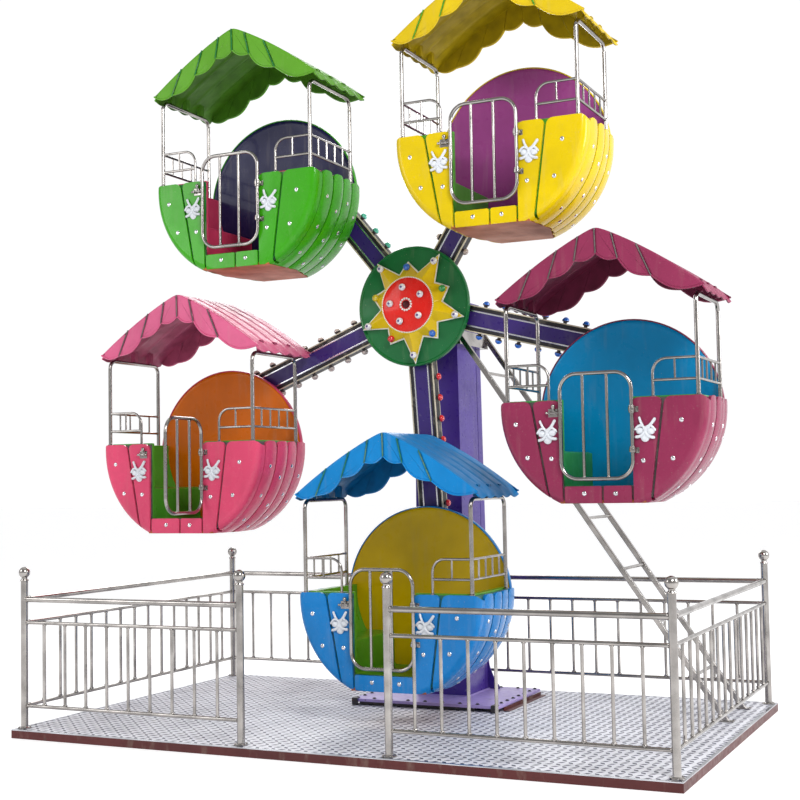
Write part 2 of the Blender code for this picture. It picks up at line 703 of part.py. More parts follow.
def canopy():
    xs = [-x for x in reversed(ROOF_LINES[1:])] + list(ROOF_LINES)
    middle = ROOF_SKIN / 2
    top = [(x, roof_z(x)) for x in xs]
    under = [(x, z - ROOF_SKIN) for x, z in reversed(top)]
    roof = prism("canopy", top + under, ROOF_Y0, ROOF_Y1)
    edge = scallops(SCALLOP_ENDS, 2, SCALLOP_BULGE)
    lid = [(x * LID_SHARE, roof_z(x) - middle) for x in reversed(xs)]
    fronts = []
    for y in (ROOF_Y0 - BITE, ROOF_Y1 - ROOF_SKIN + BITE):
        fronts.append(prism("valance", edge[1:-1] + lid, y, y + ROOF_SKIN))
    eaves = []
    step = (ROOF_Y1 - ROOF_Y0 - 2 * EAVE_INSET) / EAVE_SCALLOPS
    low = roof_z(ROOF_HALF) - middle
    ends = [(ROOF_Y0 + EAVE_INSET + i * step, low - EAVE_DROP) for i in range(EAVE_SCALLOPS + 1)]
    drop = scallops(ends, 2, SCALLOP_BULGE)
    outline = [(ends[0][0], low)] + drop + [(ends[-1][0], low)]
    for side in (-1, 1):
        inner = side * (ROOF_HALF - ROOF_SKIN)
        outer = side * (ROOF_HALF - BITE)
        eaves.append(side_prism("eave", outline, min(inner, outer), max(inner, outer)))
    saddles = []
    seat = HOOP_TOP + HOOP_R * cos(pi / 6) + GAP
    for side in (-1, 1):
        top_z = roof_z(HOOP_X + SADDLE_HALF) - SADDLE_SINK
        saddles.append(box("saddle", (side * HOOP_X - SADDLE_HALF, HOOP_Y0 + SADDLE_INSET, seat),
                           (side * HOOP_X + SADDLE_HALF, HOOP_Y1 - SADDLE_INSET, top_z)))
    return combine(roof, add=[*fronts, *eaves, together("saddles", saddles)])


def bend(corner, towards_a, towards_b, radius, steps=2):
    """Points of a quarter bend at corner, between two directions."""
    centre = Vector(corner) + (Vector(towards_a) + Vector(towards_b)) * radius
    points = []
    for i in range(steps + 1):
        turn = pi / 2 * i / steps
        from_b = Vector(towards_b) * radius * cos(turn)
        points.append(centre - from_b - Vector(towards_a) * radius * sin(turn))
    return points


def side_frame():
    """The hoop over a bench with the railing round its corner, for the right side."""
    foot = RIM_Z + GAP
    down = (0.0, 0.0, -1.0)
    back = (0.0, 1.0, 0.0)
    fore = (0.0, -1.0, 0.0)
    hoop = [(HOOP_X, HOOP_Y0, foot)]
    hoop += bend((HOOP_X, HOOP_Y0, HOOP_TOP), down, back, HOOP_CORNER)
    hoop += bend((HOOP_X, HOOP_Y1, HOOP_TOP), fore, down, HOOP_CORNER)
    hoop.append((HOOP_X, HOOP_Y1, foot))
    frame = tube("side_frame", hoop, HOOP_R)
    top = [(RAIL_FOOT_X, HOOP_Y0, foot)]
    top += bend((RAIL_FOOT_X, HOOP_Y0, RAIL_TOP), down, (1.0, 0.0, 0.0), RAIL_CORNER)
    top += [(HOOP_X, HOOP_Y0, RAIL_TOP), (HOOP_X, HOOP_Y1, RAIL_TOP)]
    low = [(RAIL_FOOT_X, HOOP_Y0, RAIL_LOW), (HOOP_X, HOOP_Y0, RAIL_LOW), (HOOP_X, HOOP_Y1, RAIL_LOW)]
    return combine(frame, add=[tube("top", top, RAIL_R, 0), tube("low", low, RAIL_R, 0)])


def mirrored(obj, name):
    twin = copy_of(obj, name)
    bm = bmesh.new()
    bm.from_mesh(twin.data)
    bmesh.ops.scale(bm, vec=(-1.0, 1.0, 1.0), verts=bm.verts)
    bmesh.ops.reverse_faces(bm, faces=bm.faces)
    bm.to_mesh(twin.data)
    bm.free()
    return twin


def door():
    """The barred door, with its origin on the hinge line."""
    left = DOOR_X0 - HINGE_X
    up = (0.0, 0.0, 1.0)
    down = (0.0, 0.0, -1.0)
    east = (1.0, 0.0, 0.0)
    west = (-1.0, 0.0, 0.0)
    loop = bend((left, 0.0, DOOR_Z0), up, east, DOOR_CORNER)
    loop += bend((0.0, 0.0, DOOR_Z0), west, up, DOOR_CORNER)
    loop += bend((0.0, 0.0, DOOR_Z1), down, west, DOOR_CORNER)
    loop += bend((left, 0.0, DOOR_Z1), east, down, DOOR_CORNER)
    frame = tube("door", loop, DOOR_R, closed=True)
    bars = [upright("bar", x - HINGE_X, 0.0, DOOR_Z0, DOOR_Z1, DOOR_BAR_R, 4) for x in DOOR_BARS]
    seat = EYE_Z[0] + EYE_HALF + GAP
    collar = upright("collar", 0.0, 0.0, seat, seat + COLLAR_TALL, DOOR_R + COLLAR_PROUD, 8)
    return combine(frame, add=[together("bars", bars), collar])


def cabins():
    right = side_frame()
    samples = {"tub": tub(), "back_disc": back_disc(), "liner": liner(), "canopy": canopy(),
               "frame_right": right, "frame_left": mirrored(right, "frame_left")}
    leaf = door()
    for colour, angle in ARM_ANGLES.items():
        turn = radians(angle)
        spot = (WHEEL_R * cos(turn), 0.0, HUB_Z + WHEEL_R * sin(turn))
        pivot = empty("pivot_" + colour, spot)
        paint = CABINS[colour]
        looks = {"tub": paint["tub"], "back_disc": paint["disc"], "liner": paint["liner"],
                 "canopy": paint["canopy"]}
        for piece, sample in samples.items():
            twin = copy_of(sample, colour + "_" + piece)
            if piece in looks:
                mat = material(colour + "_" + piece, looks[piece], GLOSS, 0.0)
            else:
                mat = finish("steel")
            place(twin, mat, pivot, smooth=True)
        twin = copy_of(leaf, colour + "_door")
        place(twin, finish("steel"), pivot, (HINGE_X, DOOR_Y, 0.0), smooth=True)
        if colour == "pink":
            twin.rotation_euler = (0.0, 0.0, radians(PINK_DOOR_OPEN))
    for sample in (*samples.values(), leaf):
        bpy.data.objects.remove(sample, do_unlink=True)


def main():
    clear_scene()
    platform()
    fences()
    column()
    drive()
    ladder()
    wheel()
    cabins()


main()
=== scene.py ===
"""A small fairground ferris wheel with five open cabins, modelled piece by piece around its packed solids.

Metres, +Z up, ground at z = 0. X runs along the platform's front edge and -Y is the side where
riders get on. Cabin pieces are drawn about the cabin's own pivot, and then copied to all five.
"""

from contextlib import contextmanager
from math import asin, atan2, cos, pi, radians, sin, sqrt, tan

import bpy
from bpy.props import FloatProperty, FloatVectorProperty, IntProperty, PointerProperty
from mathutils import Matrix, Quaternion, Vector


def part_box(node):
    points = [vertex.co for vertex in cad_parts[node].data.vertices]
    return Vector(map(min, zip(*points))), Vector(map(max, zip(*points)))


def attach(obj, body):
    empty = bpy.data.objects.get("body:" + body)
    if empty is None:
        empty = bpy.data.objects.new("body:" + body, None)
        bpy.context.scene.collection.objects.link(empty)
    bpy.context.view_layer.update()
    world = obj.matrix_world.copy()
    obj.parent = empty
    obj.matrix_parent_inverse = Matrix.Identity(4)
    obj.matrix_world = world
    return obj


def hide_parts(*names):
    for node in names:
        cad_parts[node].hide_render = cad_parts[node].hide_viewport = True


bl_info = {
    "name": "Five-cabin ferris wheel",
    "version": (1, 0, 0),
    "blender": (4, 5, 0),
    "location": "View3D > Sidebar > Ferris",
    "description": "Models the platform, column, wheel and cabins of a children's ferris wheel",
    "category": "Object",
}

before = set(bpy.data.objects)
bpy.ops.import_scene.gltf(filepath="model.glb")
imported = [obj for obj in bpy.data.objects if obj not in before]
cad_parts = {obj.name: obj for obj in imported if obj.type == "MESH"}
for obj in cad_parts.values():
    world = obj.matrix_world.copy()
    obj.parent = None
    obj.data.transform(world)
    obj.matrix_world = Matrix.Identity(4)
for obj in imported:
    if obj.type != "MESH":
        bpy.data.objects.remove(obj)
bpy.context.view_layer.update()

CABINS = ("green", "yellow", "maroon", "blue", "pink")
RIGHT = Vector((1.0, 0.0, 0.0))
UP = Vector((0.0, 0.0, 1.0))
FRONT = Vector((0.0, -1.0, 0.0))
BEHIND = -FRONT

# Places that the packed solids fix
ROOF_RISE = 0.74
DECK_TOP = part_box("platform_deck")[1].z
PIVOTS = {}
for colour in CABINS:
    low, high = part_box(colour + "_canopy")
    PIVOTS[colour] = Vector(((low.x + high.x) / 2, 0.0, high.z - ROOF_RISE))
low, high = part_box("hub_disc")
HUB = Vector(((low.x + high.x) / 2, 0.0, (low.z + high.z) / 2))
DISC_Y = low.y
DISC_R = (high.x - low.x) / 2
ARM_REACH = (PIVOTS["green"] - HUB).length

# The platform and its fence; rails are given as height over the deck and radius
HALF_X = 2.35
HALF_Y = 1.42
POST_X = 2.296
POST_Y = 1.345
ENTRY_HALF = 0.528
POST_R = 0.025
BALL_R = 0.040
BALL_MIDDLE = 1.077
TOP_RAIL = (0.89, 0.019)
MID_RAIL = (0.73, 0.0125)
LOW_RAIL = (0.155, 0.0125)
BALUSTER_R = 0.011

# The tub, about the cabin's pivot
HULL_R = 0.69
HULL_Z = -0.405
HULL_FRONT = -0.49
HULL_MIDDLE = -0.12
HULL_BACK = 0.25
RIM = -0.365
BOTTOM = -1.03
LINER_INSET = 0.0586
BACK_Z = -0.43
DOOR_LEFT = -0.26
DOOR_RIGHT = 0.205
SILL = -0.92
HINGE = Vector((0.215, -0.512, 0.0))


def linear(*levels):
    """A colour given as three screen levels from 0 to 255."""
    return tuple(((v / 255 + 0.055) / 1.055) ** 2.4 if v > 10 else v / 255 / 12.92 for v in levels)


# Working with objects

def only(*objs):
    if bpy.context.mode != "OBJECT":
        bpy.ops.object.mode_set(mode="OBJECT")
    bpy.ops.object.select_all(action="DESELECT")
    for obj in objs:
        obj.select_set(True)
    bpy.context.view_layer.objects.active = objs[0]


@contextmanager
def editing(obj):
    """Edit mode on obj alone, with all of it selected."""
    only(obj)
    bpy.ops.object.mode_set(mode="EDIT")
    bpy.ops.mesh.select_all(action="SELECT")
    yield
    bpy.ops.object.mode_set(mode="OBJECT")


@contextmanager
def picked(obj, kind, test):
    """Edit mode on obj, with only those corners, edges or faces selected that pass the test."""
    only(obj)
    mesh = obj.data
    bpy.context.tool_settings.mesh_select_mode = (kind == "VERT", kind == "EDGE", kind == "FACE")
    for items in (mesh.vertices, mesh.edges, mesh.polygons):
        items.foreach_set("select", [False] * len(items))
    for item in {"VERT": mesh.vertices, "EDGE": mesh.edges, "FACE": mesh.polygons}[kind]:
        if test(item):
            item.select = True
    bpy.ops.object.mode_set(mode="EDIT")
    yield
    bpy.ops.object.mode_set(mode="OBJECT")


def weld(obj):
    """Merge what lies on the same spot and turn all faces outwards."""
    with editing(obj):
        bpy.ops.mesh.remove_doubles(threshold=0.00001)
        bpy.ops.mesh.normals_make_consistent(inside=False)
    return obj


def applied(obj, kind, **values):
    """Put one modifier on and apply it."""
    only(obj)
    bpy.ops.object.modifier_add(type=kind)
    modifier = obj.modifiers[-1]
    for name, value in values.items():
        setattr(modifier, name, value)
    bpy.ops.object.modifier_apply(modifier=modifier.name)
    return obj


def rounded(obj, width, segments=2, angle=30.0):
    return applied(obj, "BEVEL", width=width, segments=segments, limit_method="ANGLE",
                   angle_limit=radians(angle))


def moved(obj, matrix):
    """Shift or turn the mesh, while its object stays at the origin."""
    obj.data.transform(matrix)
    return obj


def copied(obj, matrix=None):
    twin = obj.copy()
    twin.data = obj.data.copy()
    bpy.context.collection.objects.link(twin)
    if matrix is not None:
        twin.data.transform(matrix)
        if matrix.determinant() < 0.0:
            twin.data.flip_normals()
    return twin


def mirrored(obj):
    return copied(obj, Matrix.Scale(-1.0, 4, RIGHT))


def removed(*objs):
    only(*objs)
    bpy.ops.object.delete()


def joined(objs):
    only(*objs)
    if len(objs) > 1:
        bpy.ops.object.join()
    return objs[0]


def shifted(x=0.0, y=0.0, z=0.0):
    return Matrix.Translation((x, y, z))


def turned(degrees, axis="Z"):
    return Matrix.Rotation(radians(degrees), 4, axis)


def aimed(point, direction, turn=0.0):
    """The place of a small piece that was drawn at the origin, standing along +Z."""
    lean = UP.rotation_difference(Vector(direction)).to_matrix().to_4x4()
    return Matrix.Translation(point) @ lean @ Matrix.Rotation(turn, 4, "Z")


def scattered(sample, places):
    """One mesh of copies of sample, a copy at each place."""
    made = joined([copied(sample, place) for place in places])
    removed(sample)
    return made


def dressed(obj, name, body, finish, stands_for=(), sharp=35.0):
    """Name the finished piece, give it its material, and make it ride on its body."""
    only(obj)
    bpy.ops.object.transform_apply(location=True, rotation=True, scale=True)
    bpy.ops.object.shade_smooth_by_angle(angle=radians(sharp))
    applied(obj, "WEIGHTED_NORMAL", keep_sharp=True, weight=100)
    obj.name = name
    obj.data.name = name
    obj.data.materials.clear()
    obj.data.materials.append(finish)
    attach(obj, body)
    if stands_for:
        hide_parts(*stands_for)


def into_cabins(sample, piece, finish, node=None):
    """A copy of the sample in every cabin. In the slot's and the node's name * stands for the colour."""
    for colour in CABINS:
        look = finish if isinstance(finish, bpy.types.Material) else finish(colour)
        nodes = [node.replace("*", colour)] if node else []
        dressed(copied(sample, Matrix.Translation(PIVOTS[colour])), colour + "_" + piece,
                "cabin_" + colour, look, nodes)
    removed(sample)


# Making forms

def circle_points(radius, count, turn=0.0):
    """Evenly spaced points on a circle about the origin of a flat outline."""
    turns = (turn + 2 * pi * i / count for i in range(count))
    return [(radius * cos(t), radius * sin(t)) for t in turns]


def outline(points, closed=True, filled=False):
    """A ring of edges through the points, or an open run of them."""
    bpy.ops.mesh.primitive_circle_add(vertices=len(points), fill_type="NGON" if filled else "NOTHING")
    obj = bpy.context.object
    for corner, point in zip(obj.data.vertices, points):
        corner.co = point
    if not closed:
        last = len(points) - 1
        with picked(obj, "EDGE", lambda edge: set(edge.vertices) == {0, last}):
            bpy.ops.mesh.delete(type="EDGE")
    return obj


def slab(points, along, near, far):
    """A flat outline pulled along one axis, from near to far."""
    spots = {"X": [(near, u, v) for u, v in points], "Y": [(u, near, v) for u, v in points],
             "Z": [(u, v, near) for u, v in points]}[along]
    obj = outline(spots, filled=True)
    pull = Vector([far - near if axis == along else 0.0 for axis in "XYZ"])
    with editing(obj):
        bpy.ops.mesh.extrude_region_move(TRANSFORM_OT_translate={"value": pull})
    return weld(obj)


def block(low, high, edge=0.0, segments=2):
    """A bar or case with rounded edges."""
    middle = (Vector(low) + Vector(high)) / 2
    bpy.ops.mesh.primitive_cube_add(size=1.0, location=middle, scale=Vector(high) - Vector(low))
    obj = bpy.context.object
    bpy.ops.object.transform_apply(location=True, rotation=True, scale=True)
    return rounded(obj, edge, segments) if edge else obj


def spun(profile, centre, along, steps):
    """A profile of radius and place along the axis, spun all the way round."""
    line = Vector([1.0 if axis == along else 0.0 for axis in "XYZ"])
    middle = Vector(centre)
    obj = outline([middle + RIGHT * r + line * h for r, h in profile], closed=False)
    with editing(obj):
        bpy.ops.mesh.spin(steps=steps, angle=2 * pi, center=middle, axis=line)
    return obj


def lathe(profile, centre=(0.0, 0.0, 0.0), along="Y", steps=32):
    """A closed turned form about an axis along Y or Z."""
    return weld(spun(profile, centre, along, steps))


def trimmed(obj, point, away, fill=False):
    """Cut off what lies beyond a plane, on the side that away points to."""
    with editing(obj):
        bpy.ops.mesh.bisect(plane_co=point, plane_no=away, clear_outer=True, use_fill=fill)
    return obj


def lofted(sections):
    """Rings of equal count, joined one after the other and closed at both ends."""
    body = joined([outline(section) for section in sections])
    with editing(body):
        bpy.ops.mesh.select_mode(type="EDGE")
        bpy.ops.mesh.select_all(action="SELECT")
        bpy.ops.mesh.bridge_edge_loops()
    count = len(sections[0])
    for start in (0, (len(sections) - 1) * count):
        with picked(body, "VERT", lambda corner: start <= corner.index < start + count):
            bpy.ops.mesh.edge_face_add()
    return weld(body)


def bent(corners, radius, steps=6, closed=False):
    """The run of a pipe through the corners, each rounded to a bend."""
    points = []
    count = len(corners)
    for i, corner in enumerate(corners):
        here = Vector(corner)
        if not closed and i in (0, count - 1):
            points.append(here)
            continue
        back = (Vector(corners[i - 1]) - here).normalized()
        onward = (Vector(corners[(i + 1) % count]) - here).normalized()
        half = back.angle(onward) / 2
        centre = here + (back + onward).normalized() * radius / sin(half)
        start = here + back * radius / tan(half) - centre
        axis = back.cross(onward)
        for step in range(steps + 1):
            turn = Quaternion(axis, -(pi - 2 * half) * step / steps)
            points.append(centre + turn @ start)
    return points


def tube(points, radius, closed=False, sides=12):
    """A round pipe along the points, with closed ends."""
    points = [Vector(point) for point in points]
    if len(points) == 2:
        points.insert(1, (points[0] + points[1]) / 2)
    only(outline(points, closed))
    bpy.ops.object.convert(target="CURVE")
    path = bpy.context.object
    path.data.dimensions = "3D"
    path.data.fill_mode = "FULL"
    path.data.bevel_depth = radius
    path.data.bevel_resolution = (sides - 4) // 2
    path.data.use_fill_caps = not closed
    bpy.ops.object.convert(target="MESH")
    return weld(bpy.context.object)


def ball(centre, radius, segments=18):
    bpy.ops.mesh.primitive_uv_sphere_add(segments=segments, ring_count=segments // 2, radius=radius,
                                         location=centre)
    obj = bpy.context.object
    bpy.ops.object.transform_apply(location=True, rotation=True, scale=True)
    return obj


def hex_bolt(radius, tall):
    """A hexagon head with its chamfer, on a washer, standing on z = 0."""
    washer = lathe([(0.0, 0.0), (radius * 1.5, 0.0), (radius * 1.5, tall * 0.2),
                    (radius * 1.42, tall * 0.28), (0.0, tall * 0.28)], along="Z", steps=18)
    head = rounded(slab(circle_points(radius, 6), "Z", tall * 0.25, tall), radius * 0.12, 2)
    return joined([washer, head])


def bolts_at(places, radius, tall):
    return scattered(hex_bolt(radius, tall), places)


def dome_stud(radius, proud):
    """A flattened dome with a turned edge, standing on z = 0."""
    return lathe([(0.0, proud), (radius * 0.45, proud * 0.93), (radius * 0.78, proud * 0.66),
                  (radius * 0.92, proud * 0.34), (radius, proud * 0.16), (radius, -0.002),
                  (0.0, -0.002)], along="Z", steps=20)


def ring_bead(radius, thick):
    """A small collar where a bar meets a rail, standing across z = 0."""
    return lathe([(radius, -thick), (radius + thick * 0.6, -thick), (radius + thick, -thick * 0.4),
                  (radius + thick, thick * 0.4), (radius + thick * 0.6, thick), (radius, thick)],
                 along="Z", steps=16)


# Finishes

def shade(colour, factor):
    return tuple(min(1.0, level * factor) for level in colour[:3])


def towards(colour, other, share):
    return tuple(a + (b - a) * share for a, b in zip(colour[:3], other))


class Finish:
    """One material, built up node by node on the object's own coordinates."""

    def __init__(self, name, **levels):
        self.material = bpy.data.materials.new(name)
        self.material.use_nodes = True
        self.tree = self.material.node_tree
        self.tree.nodes.clear()
        self.shader = self.add("ShaderNodeBsdfPrincipled")
        output = self.add("ShaderNodeOutputMaterial")
        self.tree.links.new(self.shader.outputs["BSDF"], output.inputs["Surface"])
        self.place = self.add("ShaderNodeTexCoord").outputs["Object"]
        for socket, value in levels.items():
            self.shader.inputs[socket.replace("_", " ")].default_value = value

    def add(self, kind, **values):
        """A node with its inputs linked to outputs, or set to numbers."""
        node = self.tree.nodes.new(kind)
        for socket, value in values.items():
            self.feed(node.inputs[socket.replace("_", " ")], value)
        return node

    def feed(self, socket, value):
        """Link an output to a socket, or set the socket to a number or colour."""
        if isinstance(value, bpy.types.NodeSocket):
            self.tree.links.new(value, socket)
        elif isinstance(value, tuple) and len(value) == 3 and len(socket.default_value) == 4:
            socket.default_value = (*value, 1.0)
        else:
            socket.default_value = value

    def noise(self, scale, detail=3.0, stretch=None):
        place = self.place
        if stretch is not None:
            place = self.add("ShaderNodeMapping", Vector=place, Scale=stretch).outputs["Vector"]
        return self.add("ShaderNodeTexNoise", Vector=place, Scale=scale, Detail=detail).outputs["Fac"]

    def cells(self, scale):
        return self.add("ShaderNodeTexVoronoi", Vector=self.place, Scale=scale).outputs["Distance"]

    def noted(self, name):
        """A number that was written on the faces."""
        reader = self.add("ShaderNodeAttribute")
        reader.attribute_name = name
        return reader.outputs["Fac"]

    def between(self, value, low, high, to_low=0.0, to_high=1.0):
        return self.add("ShaderNodeMapRange", Value=value, From_Min=low, From_Max=high, To_Min=to_low,
                        To_Max=to_high).outputs["Result"]

    def times(self, a, b):
        product = self.add("ShaderNodeMath")
        product.operation = "MULTIPLY"
        self.feed(product.inputs[0], a)
        self.feed(product.inputs[1], b)
        return product.outputs["Value"]

    def blend(self, share, a, b):
        mixer = self.add("ShaderNodeMix")
        mixer.data_type = "RGBA"
        # a mixer keeps its colour sockets behind those for numbers and vectors
        for place, value in ((0, share), (6, a), (7, b)):
            self.feed(mixer.inputs[place], value)
        return mixer.outputs[2]

    def layer(self, under, over, mask, low, high, most=1.0):
        """A colour laid over another, more and more as the mask goes from low to high."""
        return self.blend(self.between(mask, low, high, 0.0, most), under, over)

    def made(self, body, roughness, *bumps):
        """The finished material, with bumps of (height, strength, distance) on top of each other."""
        self.feed(self.shader.inputs["Base Color"], body)
        self.feed(self.shader.inputs["Roughness"], roughness)
        for height, strength, distance in bumps:
            bump = self.add("ShaderNodeBump", Height=height, Strength=strength, Distance=distance)
            under = self.shader.inputs["Normal"]
            if under.links:
                self.feed(bump.inputs["Normal"], under.links[0].from_socket)
            self.feed(under, bump.outputs["Normal"])
        return self.material


DUST = linear(176, 168, 150)
RUST = linear(104, 58, 34)


def gelcoat(name, colour, gloss=0.2, coat=0.22, lining=0.0):
    """Moulded glass-fibre: faded patches, faint run marks, specks and a wavy glossy skin."""
    finish = Finish(name, Coat_Weight=coat, Coat_Roughness=0.07, Specular_IOR_Level=0.16)
    patches = finish.noise(1.9, 3.0)
    clouds = finish.noise(11.0, 5.0)
    runs = finish.noise(9.0, 4.0, (2.4, 2.4, 0.28))
    specks = finish.noise(95.0, 2.0)
    body = finish.layer(shade(colour, 0.84), shade(colour, 1.05), patches, 0.32, 0.68)
    body = finish.layer(body, shade(colour, 0.62), clouds, 0.48, 0.78, 0.22)
    body = finish.layer(body, DUST, runs, 0.56, 0.78, 0.10)
    body = finish.layer(body, towards(colour, DUST, 0.5), specks, 0.70, 0.74, 0.55)
    # Where faces are marked, a darker tone of the colour with darker clouds is laid on: painted shade on the
    # roof's underside and on the valances' inner faces.
    if lining:
        shaded_tone = finish.layer(shade(colour, lining), shade(colour, lining * 0.7), clouds, 0.4, 0.7)
        body = finish.blend(finish.noted("lining"), body, shaded_tone)
    return finish.made(body, finish.between(clouds, 0.3, 0.72, gloss, gloss + 0.17), (patches, 0.35, 0.012),
                       (finish.noise(34.0, 2.0), 0.12, 0.0012), (finish.noise(420.0, 1.0), 0.05, 0.0004))


def groove_paint(name, colour):
    """The matt paint run into the grooves, uneven and dusty."""
    finish = Finish(name, Specular_IOR_Level=0.35)
    edge = finish.noise(38.0, 4.0)
    body = finish.layer(shade(colour, 0.7), shade(colour, 1.15), edge, 0.38, 0.66)
    body = finish.layer(body, DUST, finish.noise(7.0, 3.0), 0.55, 0.75, 0.3)
    return finish.made(body, finish.between(edge, 0.3, 0.7, 0.42, 0.68),
                       (finish.noise(90.0, 3.0), 0.25, 0.001))


def laminate(name, colour):
    """Bare glass-fibre under the cabins, with a coarse weave and dark smudges."""
    finish = Finish(name, Specular_IOR_Level=0.3)
    smudges = finish.noise(4.2, 4.0)
    strands = finish.noise(60.0, 4.0, (1.0, 0.18, 1.0))
    body = finish.layer(colour, shade(colour, 0.5), smudges, 0.36, 0.70)
    body = finish.layer(body, towards(colour, DUST, 0.3), strands, 0.45, 0.75, 0.25)
    return finish.made(body, finish.between(smudges, 0.3, 0.7, 0.40, 0.62), (strands, 0.35, 0.0014),
                       (finish.noise(8.0, 2.0), 0.3, 0.006))


def bright_steel(name, colour, low=0.10, high=0.30):
    """Polished stainless tube, with rubbed lines, water spots and duller patches."""
    finish = Finish(name, Metallic=1.0)
    dull = finish.noise(6.5, 4.0)
    lines = finish.noise(130.0, 2.0, (1.0, 1.0, 0.06))
    body = finish.layer(colour, shade(colour, 0.60), dull, 0.35, 0.70)
    body = finish.blend(finish.between(finish.cells(75.0), 0.0, 0.16, 0.30, 0.0), body, shade(colour, 0.55))
    return finish.made(body, finish.between(dull, 0.3, 0.72, low, high), (lines, 0.10, 0.0003),
                       (finish.noise(24.0, 2.0), 0.10, 0.0010))


def enamel(name, colour, chip=RUST, wear=0.5, gloss=0.28):
    """Painted steel: brushed-out unevenness, dust that settles low, and chips down to the metal."""
    finish = Finish(name, Coat_Weight=0.12, Coat_Roughness=0.12, Specular_IOR_Level=0.28)
    broad = finish.noise(1.7, 3.0)
    grain = finish.noise(26.0, 4.0)
    scuffs = finish.noise(13.0, 6.0, (1.0, 1.0, 0.35))
    chips = finish.times(finish.between(finish.noise(34.0, 5.0), 0.66, 0.70),
                         finish.between(broad, 0.45, 0.62))
    body = finish.layer(shade(colour, 0.85), shade(colour, 1.12), broad, 0.35, 0.66)
    body = finish.layer(body, DUST, scuffs, 0.56, 0.76, 0.30 * wear)
    body = finish.layer(body, shade(colour, 0.6), grain, 0.5, 0.8, 0.25)
    body = finish.blend(finish.times(chips, wear), body, chip)
    return finish.made(body, finish.between(grain, 0.3, 0.7, gloss, gloss + 0.22),
                       (chips, -0.3 * wear, 0.0012), (grain, 0.10, 0.001), (broad, 0.25, 0.01))


def tread_with_shaded_bars(name, base, top):
    """Chequered steel plate: bright where feet rub the raised bars, grimy between them."""
    finish = Finish(name, Specular_IOR_Level=0.4)
    height = finish.add("ShaderNodeSeparateXYZ", Vector=finish.place).outputs["Z"]
    grime = finish.noise(3.1, 5.0)
    scratches = finish.noise(48.0, 3.0, (0.12, 1.0, 1.0))
    low = finish.layer(base, shade(base, 0.80), grime, 0.40, 0.72)
    high = finish.layer(top, shade(top, 0.72), scratches, 0.4, 0.7)
    # The raised bars take the dark top colour against the light sheet: painted shade and painted reflection
    # on the bars.
    body = finish.layer(low, high, height, DECK_TOP - 0.0009, DECK_TOP + 0.0002)
    body = finish.layer(body, DUST, finish.noise(9.0, 6.0), 0.62, 0.74, 0.16)
    return finish.made(body, finish.between(grime, 0.3, 0.7, 0.34, 0.58), (scratches, 0.15, 0.0005),
                       (finish.noise(190.0, 2.0), 0.12, 0.0005))


def lamp_glass(name, colour, clear=0.15):
    """Coloured bulb covers: thin tinted plastic with a fine ribbed press pattern."""
    finish = Finish(name, Transmission_Weight=clear, Coat_Weight=0.8, Coat_Roughness=0.04, IOR=1.45)
    cloud = finish.noise(70.0, 2.0)
    body = finish.layer(shade(colour, 0.8), shade(colour, 1.1), cloud, 0.35, 0.65)
    body = finish.layer(body, DUST, finish.noise(18.0, 3.0), 0.6, 0.8, 0.25)
    return finish.made(body, finish.between(cloud, 0.3, 0.7, 0.08, 0.2), (finish.cells(260.0), 0.15, 0.0006))


def dull_plastic(name, colour, roughness):
    """Bulb sockets, rubber pads and the black filler in the arms' edges."""
    finish = Finish(name, Specular_IOR_Level=0.4)
    mottle = finish.noise(55.0, 4.0)
    body = finish.layer(shade(colour, 0.8), shade(colour, 1.25), mottle, 0.4, 0.7)
    body = finish.layer(body, DUST, finish.noise(12.0, 4.0), 0.55, 0.75, 0.35)
    return finish.made(body, finish.between(mottle, 0.3, 0.7, roughness, roughness + 0.2),
                       (finish.noise(300.0, 2.0), 0.2, 0.0005))


def studio_floor(name, colour):
    finish = Finish(name, Specular_IOR_Level=0.2, Emission_Color=(1.0, 1.0, 1.0, 1.0), Emission_Strength=0.52)
    body = finish.layer(colour, shade(colour, 0.985), finish.noise(0.6, 2.0), 0.3, 0.7)
    return finish.made(body, finish.between(finish.noise(3.0, 2.0), 0.3, 0.7, 0.62, 0.7))


SHELF = {}


def finish_named(name, recipe, *values):
    """Each finish is made once, and then taken from the shelf."""
    if name not in SHELF:
        SHELF[name] = recipe(name, *values)
    return SHELF[name]


def steel_finish(paint):
    return finish_named("bright steel", bright_steel, tuple(paint.steel))


def purple_finish(paint):
    return finish_named("purple enamel", enamel, tuple(paint.purple), linear(150, 140, 150), 0.25, 0.24)


def edge_finish(paint):
    return finish_named("edge enamel", enamel, tuple(paint.edge), linear(70, 52, 48), 0.8, 0.38)


def dark_finish():
    return finish_named("dark fittings", enamel, linear(52, 50, 54), RUST, 0.7, 0.4)


def grey_finish():
    return finish_named("drive enamel", enamel, linear(112, 116, 120), RUST, 0.5, 0.35)


def cabin_gelcoat(paint, tone, gloss=0.2, coat=0.22, lining=0.0):
    """Gives each colour of cabin its own gelcoat for one tone."""
    # A finish with painted shade on its marked faces gets a name of its own.
    suffix = " lined" if lining else ""
    return lambda colour: finish_named(colour + " " + tone + suffix, gelcoat,
                                       tuple(getattr(getattr(paint, colour), tone)), gloss, coat, lining)


def cabin_finish(paint, tone, recipe):
    """Gives each colour of cabin its own finish of another kind for one tone."""
    return lambda colour: finish_named(colour + " " + tone, recipe,
                                       tuple(getattr(getattr(paint, colour), tone)))


# What a user can change

def tint(name, description, default):
    return FloatVectorProperty(name=name, description=description, subtype="COLOR", size=3, min=0.0,
                               max=1.0, default=default)


def length(name, description, default, low, high):
    return FloatProperty(name=name, description=description, unit="LENGTH", default=default, min=low,
                         max=high)


